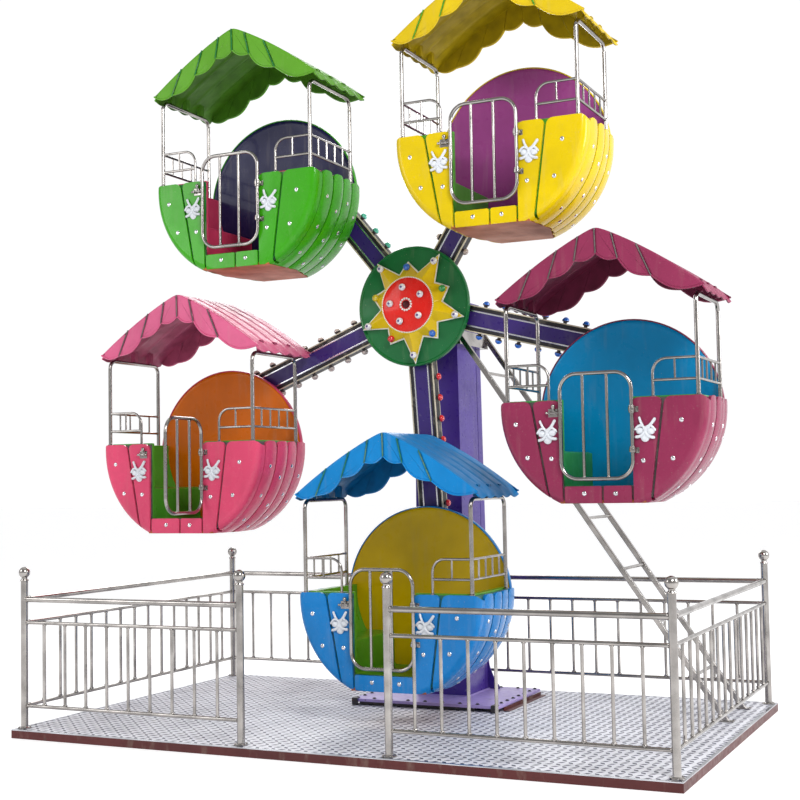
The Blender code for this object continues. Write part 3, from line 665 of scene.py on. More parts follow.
def paint_group(colour, **tones):
    """The colours of one cabin, with that cabin's own defaults."""
    told = {"tub": "Planks and staves of the tub", "canopy": "Roof and its scalloped edges",
            "groove": "Paint in the tub's grooves", "crease": "Paint in the roof's grooves",
            "liner": "Benches and inner walls", "panel": "Round panel behind the riders",
            "underside": "Bare underside of the tub"}
    notes = {tone: tint(colour.title() + " " + tone, told[tone], linear(*levels))
             for tone, levels in tones.items()}
    return type(colour.title() + "CabinPaint", (bpy.types.PropertyGroup,),
                {"__doc__": "Colours of the " + colour + " cabin.", "__annotations__": notes})


PAINT_GROUPS = {
    "green": paint_group("green", tub=(58, 160, 14), canopy=(94, 158, 40), groove=(24, 112, 52),
                         crease=(28, 118, 56), liner=(205, 62, 100), panel=(30, 30, 74),
                         underside=(188, 96, 46)),
    "yellow": paint_group("yellow", tub=(220, 190, 0), canopy=(216, 186, 22), groove=(66, 150, 26),
                          crease=(66, 150, 26), liner=(84, 146, 54), panel=(150, 66, 132),
                          underside=(182, 100, 46)),
    "maroon": paint_group("maroon", tub=(138, 44, 78), canopy=(140, 48, 82), groove=(84, 78, 76),
                          crease=(96, 90, 88), liner=(54, 146, 64), panel=(0, 136, 194),
                          underside=(168, 88, 46)),
    "blue": paint_group("blue", tub=(14, 126, 200), canopy=(12, 130, 200), groove=(32, 104, 96),
                        crease=(30, 122, 96), liner=(84, 156, 34), panel=(206, 170, 0),
                        underside=(172, 92, 48)),
    "pink": paint_group("pink", tub=(216, 74, 110), canopy=(214, 98, 138), groove=(88, 78, 80),
                        crease=(96, 86, 88), liner=(74, 156, 46), panel=(214, 104, 0),
                        underside=(176, 92, 46)),
}


class MachinePaint(bpy.types.PropertyGroup):
    """Colours of the machine itself."""

    purple: tint("Purple", "Column and arms", linear(70, 46, 138))
    violet: tint("Violet", "Base plate", linear(168, 150, 208))
    edge: tint("Edge frame", "Channels round the platform", linear(86, 36, 36))
    hub_green: tint("Hub green", "Disc over the hub", linear(22, 110, 54))
    star_yellow: tint("Star yellow", "Star on the hub", linear(232, 196, 24))
    centre_red: tint("Centre red", "Middle of the hub", linear(224, 32, 22))
    steel: tint("Steel", "Fences, hoops, doors and ladder", (0.44, 0.415, 0.395))


class WheelSizes(bpy.types.PropertyGroup):
    """Sizes of the details that the solids leave open."""

    tread_pitch: length("Tread pitch", "Between two bars of the deck's treads", 0.060, 0.02, 0.12)
    tread_rise: length("Tread rise", "Height of the deck's treads", 0.0013, 0.0005, 0.003)
    groove: length("Groove", "Width of the grooves between planks", 0.017, 0.004, 0.03)
    plank: length("Plank", "Thickness of the tub's planks and staves", 0.024, 0.008, 0.03)
    stud: length("Stud", "Radius of the studs on the tubs", 0.0150, 0.005, 0.03)
    bulb: length("Bulb", "Radius of the coloured bulbs", 0.027, 0.01, 0.04)
    bulb_step: length("Bulb step", "Between two bulbs on an arm", 0.156, 0.08, 0.3)
    staves: IntProperty(name="Staves", description="Staves on each side of a tub", default=4, min=2, max=8)


# Platform

DECK_SKIN = 0.0048
DECK_SEAM = 0.0012
DECK_MARGIN = 0.008
TREAD_X = 0.0310
TREAD_Y = 0.0150
EDGE_BAR = 0.05
EDGE_WEB = 0.005
BAYS = 4
POSTS = [(x, -POST_Y) for x in (-POST_X, -ENTRY_HALF, ENTRY_HALF, POST_X)]
POSTS += [(x, POST_Y) for x in (-POST_X, 0.0, POST_X)]


def build_deck(sizes):
    """Four sheets of tread plate with seams between them, and crossed pairs of raised bars."""
    top = DECK_TOP - sizes.tread_rise
    sheet = 2 * HALF_X / BAYS
    edge_y = HALF_Y - 0.0035
    sheets = [block((-HALF_X + i * sheet + DECK_SEAM, -edge_y, DECK_TOP - DECK_SKIN),
                    (-HALF_X + (i + 1) * sheet - DECK_SEAM, edge_y, top), 0.0008) for i in range(BAYS)]
    # The bars' dark blue-grey, against the light sheet, is painted shade and painted reflection.
    plate = finish_named("worn tread plate", tread_with_shaded_bars, linear(224, 225, 232), linear(26, 28, 66))
    dressed(joined(sheets), "deck_sheets", "base", plate, ["platform_deck"])

    bar = slab([(TREAD_X, 0.0), (0.0, TREAD_Y), (-TREAD_X, 0.0), (0.0, -TREAD_Y)], "Z", top - 0.0002,
               DECK_TOP + 0.0002)
    with picked(bar, "FACE", lambda face: face.normal.z > 0.9):
        bpy.ops.transform.resize(value=(0.88, 0.80, 1.0), center_override=(0.0, 0.0, 0.0))
    across = round((sheet - DECK_MARGIN) / (2 * sizes.tread_pitch))
    deep = round((HALF_Y - DECK_MARGIN) / sizes.tread_pitch)
    step_x = (sheet - DECK_MARGIN) / (2 * across)
    step_y = (HALF_Y - DECK_MARGIN) / deep
    treads = scattered(bar, [turned(45), shifted(step_x, step_y) @ turned(45), shifted(step_x) @ turned(-45),
                             shifted(0.0, step_y) @ turned(-45)])
    moved(treads, shifted(-HALF_X + sheet / 2 - (across - 0.5) * step_x, -(deep - 0.5) * step_y))
    for count, offset in ((across, (2 * step_x, 0.0, 0.0)), (deep, (0.0, 2 * step_y, 0.0)),
                          (BAYS, (sheet, 0.0, 0.0))):
        applied(treads, "ARRAY", count=count, use_relative_offset=False, use_constant_offset=True,
                constant_offset_displace=offset)
    dressed(treads, "deck_treads", "base", plate, sharp=20.0)


def all_round(section):
    """Four mitred bars round the platform, from a section measured inwards from the edge."""
    bars = []
    for turn, across, half in ((0, HALF_Y, HALF_X), (90, HALF_X, HALF_Y), (180, HALF_Y, HALF_X),
                               (270, HALF_X, HALF_Y)):
        bar = slab([(inward - across, z) for inward, z in section], "X", -half, half)
        front = min(inward for inward, z in section) - across
        for end in (1.0, -1.0):
            trimmed(bar, (end * half, front, 0.0), (end, 1.0, 0.0), fill=True)
        bars.append(moved(bar, turned(turn)))
    return joined(bars)


def build_edge_frame(paint):
    """Channels round the platform, cross members under the seams, and bright strips on the edge."""
    top = DECK_TOP - DECK_SKIN - 0.0006
    channel = [(0.0, 0.0), (EDGE_BAR, 0.0), (EDGE_BAR, EDGE_WEB), (EDGE_WEB, EDGE_WEB),
               (EDGE_WEB, top - EDGE_WEB), (EDGE_BAR, top - EDGE_WEB), (EDGE_BAR, top), (0.0, top)]
    parts = [rounded(all_round(channel), 0.0014, 2, 40.0)]
    step = (2 * HALF_X - EDGE_BAR) / BAYS
    half = EDGE_BAR / 2
    y = HALF_Y - EDGE_BAR
    for i in range(1, BAYS):
        x = -HALF_X + half + i * step
        for near, far, low in ((x - half, x - half + EDGE_WEB, 0.0), (x + half - EDGE_WEB, x + half, 0.0),
                               (x - half, x + half, top - EDGE_WEB)):
            parts.append(block((near, -y, low), (far, y, top), 0.001))
    dressed(joined(parts), "edge_channels", "base", edge_finish(paint), ["platform_frame"])

    strip = [(0.0004, -0.0078), (0.0030, -0.0078), (0.0030, -0.0016), (0.0224, -0.0016), (0.0224, 0.0002),
             (0.0004, 0.0002)]
    strips = all_round([(inward, DECK_TOP + z) for inward, z in strip])
    rubbed = finish_named("rubbed strip", bright_steel, linear(206, 208, 214), 0.22, 0.42)
    dressed(rounded(strips, 0.0006, 2, 40.0), "edge_strips", "base", rubbed)


def build_post_fittings():
    """The dark feet that the posts stand on, and the bolts in the channels outside them."""
    foot = block((-0.032, -0.030, DECK_TOP), (0.032, 0.030, DECK_TOP + 0.0045), 0.001)
    feet = scattered(foot, [shifted(x, y) for x, y in POSTS])
    dressed(feet, "post_feet", "base", dark_finish())
    places = []
    for x, y in POSTS:
        out = 1.0 if y > 0.0 else -1.0
        places += [aimed((x - out * aside, out * (HALF_Y - 0.0052), 0.026), (0.0, out, 0.0), aside)
                   for aside in (-0.018, 0.018)]
    dressed(bolts_at(places, 0.007, 0.0048), "channel_bolts", "base", dark_finish())


# Fence

def fence_post(x, y):
    """A tube on a round flange, with a collar and a ball on top."""
    profile = [(0.0, 0.0005), (0.046, 0.0005), (0.0465, 0.006), (0.044, 0.0085), (0.030, 0.009),
               (0.0265, 0.012), (POST_R, 0.020), (POST_R, 1.016), (0.0285, 1.018), (0.0305, 1.023),
               (0.0285, 1.028), (0.0225, 1.030), (0.0205, 1.034), (0.0205, 1.040)]
    turns = [radians(-58.0 + 148.0 * i / 12) for i in range(12)]
    profile += [(BALL_R * cos(t), BALL_MIDDLE + BALL_R * sin(t)) for t in turns]
    profile.append((0.0, BALL_MIDDLE + BALL_R))
    return lathe(profile, (x, y, DECK_TOP), "Z", 24)


def fence_run(side, posts, start, end, balusters, steel):
    """One panel: posts, three rails with weld collars, balusters with beads, and the flanges' bolts."""
    a = Vector((*start, DECK_TOP))
    b = Vector((*end, DECK_TOP))
    line = (b - a).normalized()
    parts = [fence_post(*spot) for spot in posts]
    for height, radius in (TOP_RAIL, MID_RAIL, LOW_RAIL):
        lift = UP * height
        parts.append(tube([a + lift, b + lift], radius, sides=16))
        for spot, inward in ((a, line), (b, -line)):
            parts.append(moved(ring_bead(radius, 0.0035),
                               aimed(spot + lift + inward * (POST_R + 0.002), inward)))
    stem = tube([(0.0, 0.0, LOW_RAIL[0]), (0.0, 0.0, MID_RAIL[0])], BALUSTER_R, sides=10)
    foot = moved(ring_bead(BALUSTER_R, 0.0055), shifted(z=sum(LOW_RAIL) + 0.004))
    head = moved(ring_bead(BALUSTER_R, 0.0035), shifted(z=MID_RAIL[0] - MID_RAIL[1] - 0.002))
    spots = [Matrix.Translation(a.lerp(b, (i + 1) / (balusters + 1))) for i in range(balusters)]
    parts.append(scattered(joined([stem, foot, head]), spots))
    flange = circle_points(0.037, 4, pi / 4)
    places = [aimed((x + dx, y + dy, DECK_TOP + 0.008), UP, atan2(dy, dx))
              for x, y in posts for dx, dy in flange]
    parts.append(bolts_at(places, 0.0048, 0.005))
    dressed(joined(parts), "railing_" + side, "base", steel, ["fence_" + side])


def build_fences(paint):
    steel = steel_finish(paint)
    clear = POST_R + 0.0003
    for side, x0, x1 in (("front_left", -POST_X, -ENTRY_HALF), ("front_right", ENTRY_HALF, POST_X)):
        ends = [(x0, -POST_Y), (x1, -POST_Y)]
        fence_run(side, ends, *ends, 9, steel)
    for side, x in (("left", -POST_X), ("right", POST_X)):
        fence_run(side, [(x, POST_Y)], (x, -POST_Y + clear), (x, POST_Y), 14, steel)
    fence_run("back", [(0.0, POST_Y)], (-POST_X + clear, POST_Y), (POST_X - clear, POST_Y), 24, steel)


# Column, its foot, the drive and the ladder

COLUMN_FRONT = 0.66
COLUMN_BACK = 1.12
COLUMN_FOOT = 0.205
COLUMN_HEAD = 0.175
COLUMN_TOP = DECK_TOP + 3.05
COLUMN_CAP = 0.012
FOOT_TOP = DECK_TOP + 0.047
FOOT_LOW = FOOT_TOP - 0.022
BOLT_X = 0.555
BOLT_Y = (0.342, 1.168)


def column_half(z):
    return COLUMN_FOOT + (z - FOOT_TOP) / (COLUMN_TOP - FOOT_TOP) * (COLUMN_HEAD - COLUMN_FOOT)


def grooved_box(foot):
    """The tapered box of the column, with a lapped seam up its sides and another round its foot."""
    head = COLUMN_TOP - COLUMN_CAP
    middle = (COLUMN_FRONT + COLUMN_BACK) / 2
    upright, level = COLUMN_FRONT + 0.370, foot + 0.342
    box = block((-COLUMN_FOOT, COLUMN_FRONT, foot), (COLUMN_FOOT, COLUMN_BACK, head))
    with picked(box, "FACE", lambda face: face.normal.z > 0.9):
        bpy.ops.transform.resize(value=(column_half(head) / COLUMN_FOOT, 1.0, 1.0),
                                 center_override=(0.0, middle, COLUMN_TOP))
        for spot, across in (((0.0, upright - 0.004, 0.0), BEHIND), ((0.0, upright + 0.004, 0.0), BEHIND),
                             ((0.0, 0.0, level - 0.002), UP), ((0.0, 0.0, level + 0.002), UP)):
            bpy.ops.mesh.select_all(action="SELECT")
            bpy.ops.mesh.bisect(plane_co=spot, plane_no=across)

    def in_a_groove(face):
        return (abs(face.normal.x) > 0.9 and abs(face.center.y - upright) < 0.003
                or abs(face.normal.z) < 0.5 and abs(face.center.z - level) < 0.001)

    with picked(box, "FACE", in_a_groove):
        bpy.ops.mesh.extrude_region_shrink_fatten(TRANSFORM_OT_shrink_fatten={"value": -0.004})
    return rounded(box, 0.0035, 2, 50.0)


def build_column(paint):
    """A tapered box of folded plate with its cap, and flared wings beside its foot."""
    foot = FOOT_TOP + 0.0004
    lap = 0.004
    cap = block((-COLUMN_HEAD - lap, COLUMN_FRONT - lap, COLUMN_TOP - COLUMN_CAP),
                (COLUMN_HEAD + lap, COLUMN_BACK + lap, COLUMN_TOP), 0.003)
    parts = [grooved_box(foot), cap]
    for side in (-1, 1):
        inner = side * (column_half(foot) - lap)
        outer = side * (COLUMN_FOOT + 0.09)
        points = [(inner, foot), (outer, foot), (outer, foot + 0.02)]
        points += [(inner + side * 0.086 * (1 - sin(pi / 2 * s)) ** 1.2, foot + 0.02 + 0.28 * s)
                   for s in (i / 6 for i in range(1, 7))]
        parts.append(rounded(slab(points, "Y", COLUMN_BACK - 0.036, COLUMN_BACK - 0.024), 0.0015))
    dressed(joined(parts), "column_shell", "base", purple_finish(paint), ["column"])


def build_bearing():
    """The bearing's housing on the column's face, with plates beside and below it."""
    face, z = COLUMN_FRONT, HUB.z
    housing = [(0.062, 0.002), (0.084, 0.002), (0.084, -0.010), (0.081, -0.034), (0.077, -0.038),
               (0.062, -0.038), (0.062, 0.002)]
    parts = [lathe(housing, (0.0, face, z), "Y", 40)]
    for x0, x1, top, edge in ((-0.150, -0.070, 0.075, 0.004), (0.070, 0.150, 0.075, 0.004),
                              (-0.072, 0.072, -0.070, 0.003)):
        parts.append(block((x0, face - 0.014, z - 0.115), (x1, face + 0.002, z + top), edge))
    places = [aimed((x, face - 0.013, z + rise), FRONT, x * 9 + rise)
              for x in (-0.122, 0.122) for rise in (-0.090, -0.020, 0.050)]
    dressed(joined([*parts, bolts_at(places, 0.010, 0.009)]), "bearing_flange", "base", grey_finish())


def build_foot(paint):
    """The column's base plate with its edge bolts, on dark pads, with clips at the front corners."""
    plate = block((-0.59, 0.31, FOOT_LOW), (0.59, 1.20, FOOT_TOP), 0.003, 3)
    skirt = block((-0.218, COLUMN_FRONT - 0.013, FOOT_TOP - 0.001),
                  (0.218, COLUMN_BACK + 0.013, FOOT_TOP + 0.006), 0.002)
    violet = finish_named("violet enamel", enamel, tuple(paint.violet), linear(96, 84, 110), 0.7, 0.3)
    dressed(joined([plate, skirt]), "column_foot", "base", violet, ["column_base"])

    near, far = BOLT_Y
    places = [(-BOLT_X + 2 * BOLT_X * i / 8, y) for i in range(9) for y in BOLT_Y]
    places += [(x, near + (far - near) * i / 7) for i in range(1, 7) for x in (-BOLT_X, BOLT_X)]
    spots = [aimed((x, y, FOOT_TOP - 0.001), UP, x * 9 + y * 5) for x, y in places]
    dressed(bolts_at(spots, 0.011, 0.010), "foot_bolts", "base", dark_finish())

    pads = [block((x - 0.05, y - 0.05, DECK_TOP + 0.0004), (x + 0.05, y + 0.05, FOOT_LOW + 0.001), 0.004)
            for x in (-0.49, 0.0, 0.49) for y in (0.41, 1.10)]
    rubber = finish_named("black rubber", dull_plastic, linear(30, 30, 33), 0.55)
    dressed(joined(pads), "foot_pads", "base", rubber)


def build_foot_fittings(paint):
    """Folded clips over the plate's front edge with a bar between them, and an angle at its side."""
    low, lip = DECK_TOP + 0.0006, DECK_TOP + 0.006
    fold = [(0.292, low), (0.36, low), (0.36, lip), (0.308, lip), (0.308, FOOT_TOP + 0.0005),
            (0.345, FOOT_TOP + 0.0005), (0.345, FOOT_TOP + 0.006), (0.292, FOOT_TOP + 0.006)]
    clips = [rounded(slab(fold, "X", x - 0.022, x + 0.022), 0.0012) for x in (-0.56, 0.56)]
    bar = block((-0.53, 0.322, lip), (0.40, 0.352, FOOT_LOW + 0.0005), 0.003)
    dressed(joined([*clips, bar]), "foot_clips", "base", dark_finish())
    angle = slab([(0.594, low), (0.640, low), (0.640, lip), (0.600, lip), (0.600, DECK_TOP + 0.026),
                  (0.594, DECK_TOP + 0.026)], "Y", 0.40, 1.18)
    dressed(rounded(angle, 0.001), "foot_angle", "base", edge_finish(paint))


def build_drive():
    """A gearbox with ribs and a bolted cover behind the column, and its finned motor below."""
    back = COLUMN_BACK + 0.0005
    low = HUB.z - 0.17
    high = HUB.z + 0.07
    middle = back + 0.115
    parts = [block((-0.125, back, low), (0.125, back + 0.185, high), 0.012, 3),
             block((-0.105, back + 0.180, low + 0.025), (0.105, back + 0.197, high - 0.025), 0.006)]
    for x in (-0.07, 0.0, 0.07):
        parts.append(block((x - 0.006, back + 0.01, high - 0.004), (x + 0.006, back + 0.17, high), 0.002))
    for z in (low + 0.05, low + 0.12, low + 0.19):
        parts.append(block((-0.130, back + 0.02, z - 0.006), (0.130, back + 0.165, z + 0.006), 0.002))
    boss = [(0.0, 0.200), (0.045, 0.200), (0.050, 0.197), (0.055, 0.190), (0.0, 0.188)]
    parts.append(lathe(boss, (0.0, back, HUB.z), "Y", 28))
    motor = [(0.0, -0.50), (0.060, -0.50), (0.072, -0.494), (0.076, -0.480), (0.076, -0.445), (0.068, -0.442),
             (0.068, -0.235), (0.083, -0.230), (0.085, -0.205), (0.080, -0.190), (0.070, -0.162),
             (0.0, -0.162)]
    parts.append(lathe(motor, (0.0, middle, HUB.z), "Z", 36))
    fin = block((0.064, -0.0018, HUB.z - 0.438), (0.084, 0.0018, HUB.z - 0.240), 0.0008, 1)
    parts.append(scattered(fin, [shifted(y=middle) @ turned(360 * i / 28) for i in range(28)]))
    parts.append(block((-0.045, middle + 0.060, HUB.z - 0.40), (0.045, middle + 0.0845, HUB.z - 0.29), 0.005))
    dressed(joined(parts), "gear_drive", "base", grey_finish(), ["drive"])
    places = [aimed((x, back + 0.196, z), BEHIND, x * 7)
              for x in (-0.090, 0.0, 0.090) for z in (low + 0.04, high - 0.04)]
    dressed(bolts_at(places, 0.008, 0.0035), "drive_bolts", "base", dark_finish())


LADDER_Y = (0.52, 1.08)
LADDER_FOOT_X = 2.17
LADDER_TOP_X = 0.225
LADDER_RISE = 2.81
LADDER_HALF = 0.018
RUNG_R = 0.012
FIRST_RUNG = 0.30
RUNG_STEP = 0.36


def build_ladder(paint):
    """Two square tubes with round rungs, shoes on the deck, and a plate on the column's side."""
    run = LADDER_TOP_X - LADDER_FOOT_X
    half = LADDER_HALF
    across = half * sqrt(run ** 2 + LADDER_RISE ** 2) / LADDER_RISE
    foot = DECK_TOP + 0.0004
    top = DECK_TOP + LADDER_RISE
    parts = []
    for y in LADDER_Y:
        points = [(LADDER_FOOT_X - across, foot), (LADDER_FOOT_X + across, foot),
                  (LADDER_TOP_X + across, top), (LADDER_TOP_X - across, top)]
        parts.append(rounded(slab(points, "Y", y - half, y + half), 0.004, 3))
        parts.append(block((LADDER_FOOT_X - 0.05, y - 0.034, foot),
                           (LADDER_FOOT_X + 0.05, y + 0.034, foot + 0.006), 0.0015))
    beads = []
    for i in range(7):
        rise = FIRST_RUNG + i * RUNG_STEP
        z = DECK_TOP + rise
        x = LADDER_FOOT_X + rise / LADDER_RISE * run
        parts.append(tube([(x, LADDER_Y[0], z), (x, LADDER_Y[1], z)], RUNG_R))
        beads += [aimed((x, y + way * (half + 0.002), z), (0.0, way, 0.0))
                  for y, way in zip(LADDER_Y, (1.0, -1.0))]
    parts.append(scattered(ring_bead(RUNG_R, 0.004), beads))
    low, high = top - 0.12, top - 0.01
    reach = LADDER_TOP_X + across - 0.001
    seat = slab([(column_half(low) + 0.0005, low), (reach + 0.02, low), (reach, high),
                 (column_half(high) + 0.0005, high)], "Y", *LADDER_Y)
    steel = steel_finish(paint)
    dressed(joined([*parts, rounded(seat, 0.002)]), "service_ladder", "base", steel, ["ladder"])
    bolts = [aimed((LADDER_FOOT_X + dx, y + dy, foot + 0.005), UP, dx * 40)
             for y in LADDER_Y for dx in (-0.038, 0.038) for dy in (-0.024, 0.024)]
    dressed(bolts_at(bolts, 0.0055, 0.005), "ladder_bolts", "base", steel)


# Hub and arms

STAR_LONG = 0.433
STAR_SHORT = 0.329
STAR_NOTCH = 0.252
STAR_RING = 0.216
STAR_EDGE = 0.0085
STAR_RISE = 0.0610
DISC_RIM = 0.020
DISC_STEPS = 80
FIRST_POINT = atan2(PIVOTS["maroon"].z - HUB.z, PIVOTS["maroon"].x - HUB.x)
BETWEEN_POINTS = FIRST_POINT + pi / 5
FIFTH = 2 * pi / 5
STAR_FACE = DISC_Y - 0.0003
STAR_FRONT = STAR_FACE - STAR_EDGE - 0.005
CENTRE_FACE = STAR_FACE - 0.0703
LAMP_STEM = 0.010
BULB_TONES = {"turquoise": (96, 214, 190), "red": (226, 34, 44), "blue": (28, 110, 214),
              "clear": (232, 214, 206), "green": (32, 156, 66), "yellow": (220, 196, 40),
              "white": (244, 242, 246)}


def on_hub(reach, turn, y):
    return Vector((HUB.x + reach * cos(turn), y, HUB.z + reach * sin(turn)))


def hub_lathe(y, profile, steps):
    return lathe(profile, (HUB.x, y, HUB.z), "Y", steps)


def star_points(grow, y):
    """Ten points with notches between them, every other one a long one towards an arm."""
    reaches = [STAR_NOTCH if i % 2 else (STAR_SHORT if i % 4 else STAR_LONG) for i in range(20)]
    return [on_hub(reach + grow, FIRST_POINT + i * pi / 10, y) for i, reach in enumerate(reaches)]


def lamp(radius):
    """A bulb cover: a dome with a lip, standing on z = 0."""
    return lathe([(0.0, radius * 1.02), (radius * 0.36, radius * 0.96), (radius * 0.66, radius * 0.79),
                  (radius * 0.88, radius * 0.52), (radius * 0.97, radius * 0.24),
                  (radius * 0.96, radius * 0.06), (radius * 0.80, -0.001), (0.0, -0.001)],
                 along="Z", steps=22)


def lamp_foot(radius, stem):
    """The socket that a bulb stands in, from -stem up to z = 0."""
    return lathe([(0.0, 0.003), (radius * 0.88, 0.003), (radius * 0.92, -0.002), (radius * 0.80, -0.006),
                  (radius * 0.52, -0.009), (radius * 0.46, -stem), (0.0, -stem)], along="Z", steps=18)


def bulbs(name, tone, sizes, places, stem):
    """Bulbs of one colour at their places on the wheel, with their sockets."""
    glow = 0.5 if tone == "clear" else 0.15
    glass = finish_named(tone + " bulb", lamp_glass, linear(*BULB_TONES[tone]), glow)
    dressed(scattered(lamp(sizes.bulb), places), name + "_bulbs", "wheel", glass)
    socket = finish_named("bulb socket", dull_plastic, linear(70, 62, 66), 0.35)
    dressed(scattered(lamp_foot(sizes.bulb, stem), places), name + "_sockets", "wheel", socket)


def build_hub_block(paint):
    """The five-sided block that the arms meet at, and its stepped shaft."""
    corners = circle_points(0.19 / cos(pi / 5), 5, BETWEEN_POINTS)
    block_of_arms = slab([(HUB.x + x, HUB.z + z) for x, z in corners], "Y", DISC_Y + 0.0605, 0.43)
    shaft = hub_lathe(0.0, [(0.0, 1.065), (0.055, 1.065), (0.0596, 1.060), (0.0596, 0.520), (0.074, 0.512),
                            (0.080, 0.500), (0.080, 0.428), (0.0, 0.428)], 36)
    dressed(joined([rounded(block_of_arms, 0.004, 3), shaft]), "hub_carrier", "wheel", purple_finish(paint),
            ["hub_block"])


def build_hub_disc(paint):
    """The green disc with its rolled rim, and the folded facets that lie in it."""
    inner = DISC_R - DISC_RIM
    disc = hub_lathe(DISC_Y, [(0.0, 0.030), (inner - 0.006, 0.030), (inner, 0.022), (DISC_R - 0.012, 0.016),
                              (DISC_R - 0.004, 0.018), (DISC_R, 0.026), (DISC_R, 0.050),
                              (DISC_R - 0.006, 0.058), (inner, 0.0595), (0.0, 0.0595)], DISC_STEPS)
    green = finish_named("hub gelcoat", gelcoat, tuple(paint.hub_green), 0.3, 0.2)
    dressed(disc, "hub_face", "wheel", green, ["hub_disc"])
    folds = [(i % 4 - 2) ** 2 * 0.0012 for i in range(DISC_STEPS // 2)]
    rings = [[on_hub(reach, FIRST_POINT + i * pi / 20, DISC_Y + y + fold * share)
              for i, fold in enumerate(folds)]
             for reach, y, share in ((inner - 0.002, 0.034, 0.0), (inner - 0.002, 0.026, 1.0),
                                     (STAR_NOTCH - 0.020, 0.001, 0.0))]
    # The facets take the disc's green a little towards grey: a painted sheen on them.
    pale = finish_named("hub facets", gelcoat, towards(tuple(paint.hub_green), linear(96, 130, 120), 0.06),
                        0.34, 0.12)
    dressed(lofted(rings), "hub_facets", "wheel", pale, sharp=4.0)


def build_star(paint, white):
    """The raised yellow star on its white edging."""
    flat = [(point.x, point.z) for point in star_points(0.004, 0.0)]
    edging = slab(flat, "Y", STAR_FACE + 0.001, STAR_FACE - 0.0065)
    dressed(rounded(edging, 0.0015, 2, 20.0), "star_edging", "wheel", white)
    front = STAR_FACE - STAR_EDGE
    inside = [on_hub(STAR_RING, FIRST_POINT + i * pi / 10, front - STAR_RISE) for i in range(20)]
    star = lofted([star_points(-0.010, STAR_FACE), star_points(-0.010, front), inside])
    yellow = finish_named("star gelcoat", gelcoat, tuple(paint.star_yellow))
    dressed(rounded(star, 0.003, 3, 24.0), "star_plate", "wheel", yellow, ["hub_star"])


def build_centre(paint, white):
    """The red dome with its beaded edge, and a ring of pearls round a dark cap."""
    y = CENTRE_FACE
    dome = hub_lathe(y, [(0.0, -0.030), (0.05, -0.0285), (0.10, -0.0245), (0.15, -0.0180), (0.182, -0.0125),
                         (0.194, -0.009), (0.2015, -0.004), (0.202, 0.0), (0.0, 0.0)], 60)
    red = finish_named("centre gelcoat", gelcoat, tuple(paint.centre_red))
    dressed(dome, "centre_boss", "wheel", red, ["hub_centre"])
    pearl = finish_named("pearl", gelcoat, linear(240, 236, 232), 0.12)
    for piece, count, reach, lift, bead, look, slot in (
            ("beads", 96, 0.205, 0.002, ball((0.0, 0.0, 0.002), 0.0058, 8), white, "star_yellow"),
            ("pearls", 14, 0.043, 0.030, ball((0.0, 0.0, 0.003), 0.0088, 12), pearl, "centre_red")):
        places = [aimed(on_hub(reach, 2 * pi * i / count, y - lift), FRONT) for i in range(count)]
        dressed(scattered(bead, places), "centre_" + piece, "wheel", look)
    cap = hub_lathe(y, [(0.0, -0.043), (0.016, -0.042), (0.026, -0.0375), (0.030, -0.028), (0.0, -0.028)], 28)
    dressed(cap, "centre_cap", "wheel", finish_named("dark red cap", gelcoat, linear(70, 12, 22), 0.12))


def build_hub_lamps(sizes):
    """White lamps on the star's tips and round the centre, and one coloured lamp between each two tips."""
    whites = [aimed(on_hub(0.372, FIRST_POINT + i * FIFTH, STAR_FRONT - STAR_RISE * 0.28), FRONT)
              for i in range(5)]
    whites += [aimed(on_hub(0.132, BETWEEN_POINTS + radians(9) + i * FIFTH, CENTRE_FACE - 0.0265), FRONT)
               for i in range(5)]
    bulbs("hub_white", "white", sizes, whites, LAMP_STEM)
    eyes = scattered(dome_stud(sizes.bulb * 0.34, 0.005),
                     [place @ shifted(z=sizes.bulb * 0.99) for place in whites])
    dressed(eyes, "hub_white_eyes", "wheel", finish_named("violet eye", gelcoat, linear(96, 84, 140), 0.12))
    for i, tone in enumerate(("green", "blue", "yellow", "red", "blue")):
        spot = aimed(on_hub(0.286, BETWEEN_POINTS + i * FIFTH, STAR_FRONT - STAR_RISE * 0.38), FRONT)
        bulbs("hub_%s_%d" % (tone, i), tone, sizes, [spot], LAMP_STEM)


ARM_FRONT = 0.315
ARM_BACK = 0.405
ARM_START = 0.1905
ARM_HALF = 0.0975
PIN_HOLE = 0.0222
FIRST_BULB = 0.535
# for each arm: the colour of its bulbs, and the edges that carry them, left and right as seen
# from the front with the arm pointing up
ARM_BULBS = {"green": ("turquoise", (-1,)), "blue": ("red", (1,)), "maroon": ("blue", (-1, 1)),
             "pink": ("clear", (-1, 1)), "yellow": ("clear", (-1, 1))}
# for each kind of strip on both edges: how far it lies from the arm's middle, and its front and back
ARM_STRIPS = {"silver": ((0.050, 0.061, ARM_FRONT + 0.0002, ARM_FRONT + 0.010),),
              "groove": ((0.060, ARM_HALF - 0.001, ARM_FRONT + 0.007, ARM_BACK - 0.004),),
              "pale": ((ARM_HALF - 0.009, ARM_HALF, ARM_FRONT + 0.0002, ARM_FRONT + 0.012),
                       (ARM_HALF - 0.005, ARM_HALF, ARM_BACK - 0.010, ARM_BACK - 0.002))}


def along_arm(colour):
    """From an arm drawn along +X, with +Z to its left, to its place on the wheel."""
    way = PIVOTS[colour] - HUB
    return Matrix.Translation(HUB) @ Matrix.Rotation(-atan2(way.z, way.x), 4, "Y")


def arm_body():
    """The box of an arm with the eye for the cabin's pin at its end."""
    beam = block((ARM_START, ARM_FRONT + 0.004, -0.064), (ARM_REACH - 0.025, ARM_BACK, 0.064), 0.004, 3)
    front, back = ARM_FRONT - 0.012, ARM_BACK + 0.012
    eye = lathe([(PIN_HOLE, front), (0.060, front), (0.080, front + 0.004), (0.085, front + 0.010),
                 (0.085, back - 0.008), (0.080, back - 0.002), (0.060, back), (PIN_HOLE, back),
                 (PIN_HOLE, front)], (ARM_REACH, 0.0, 0.0), "Y", 40)
    return joined([beam, eye])


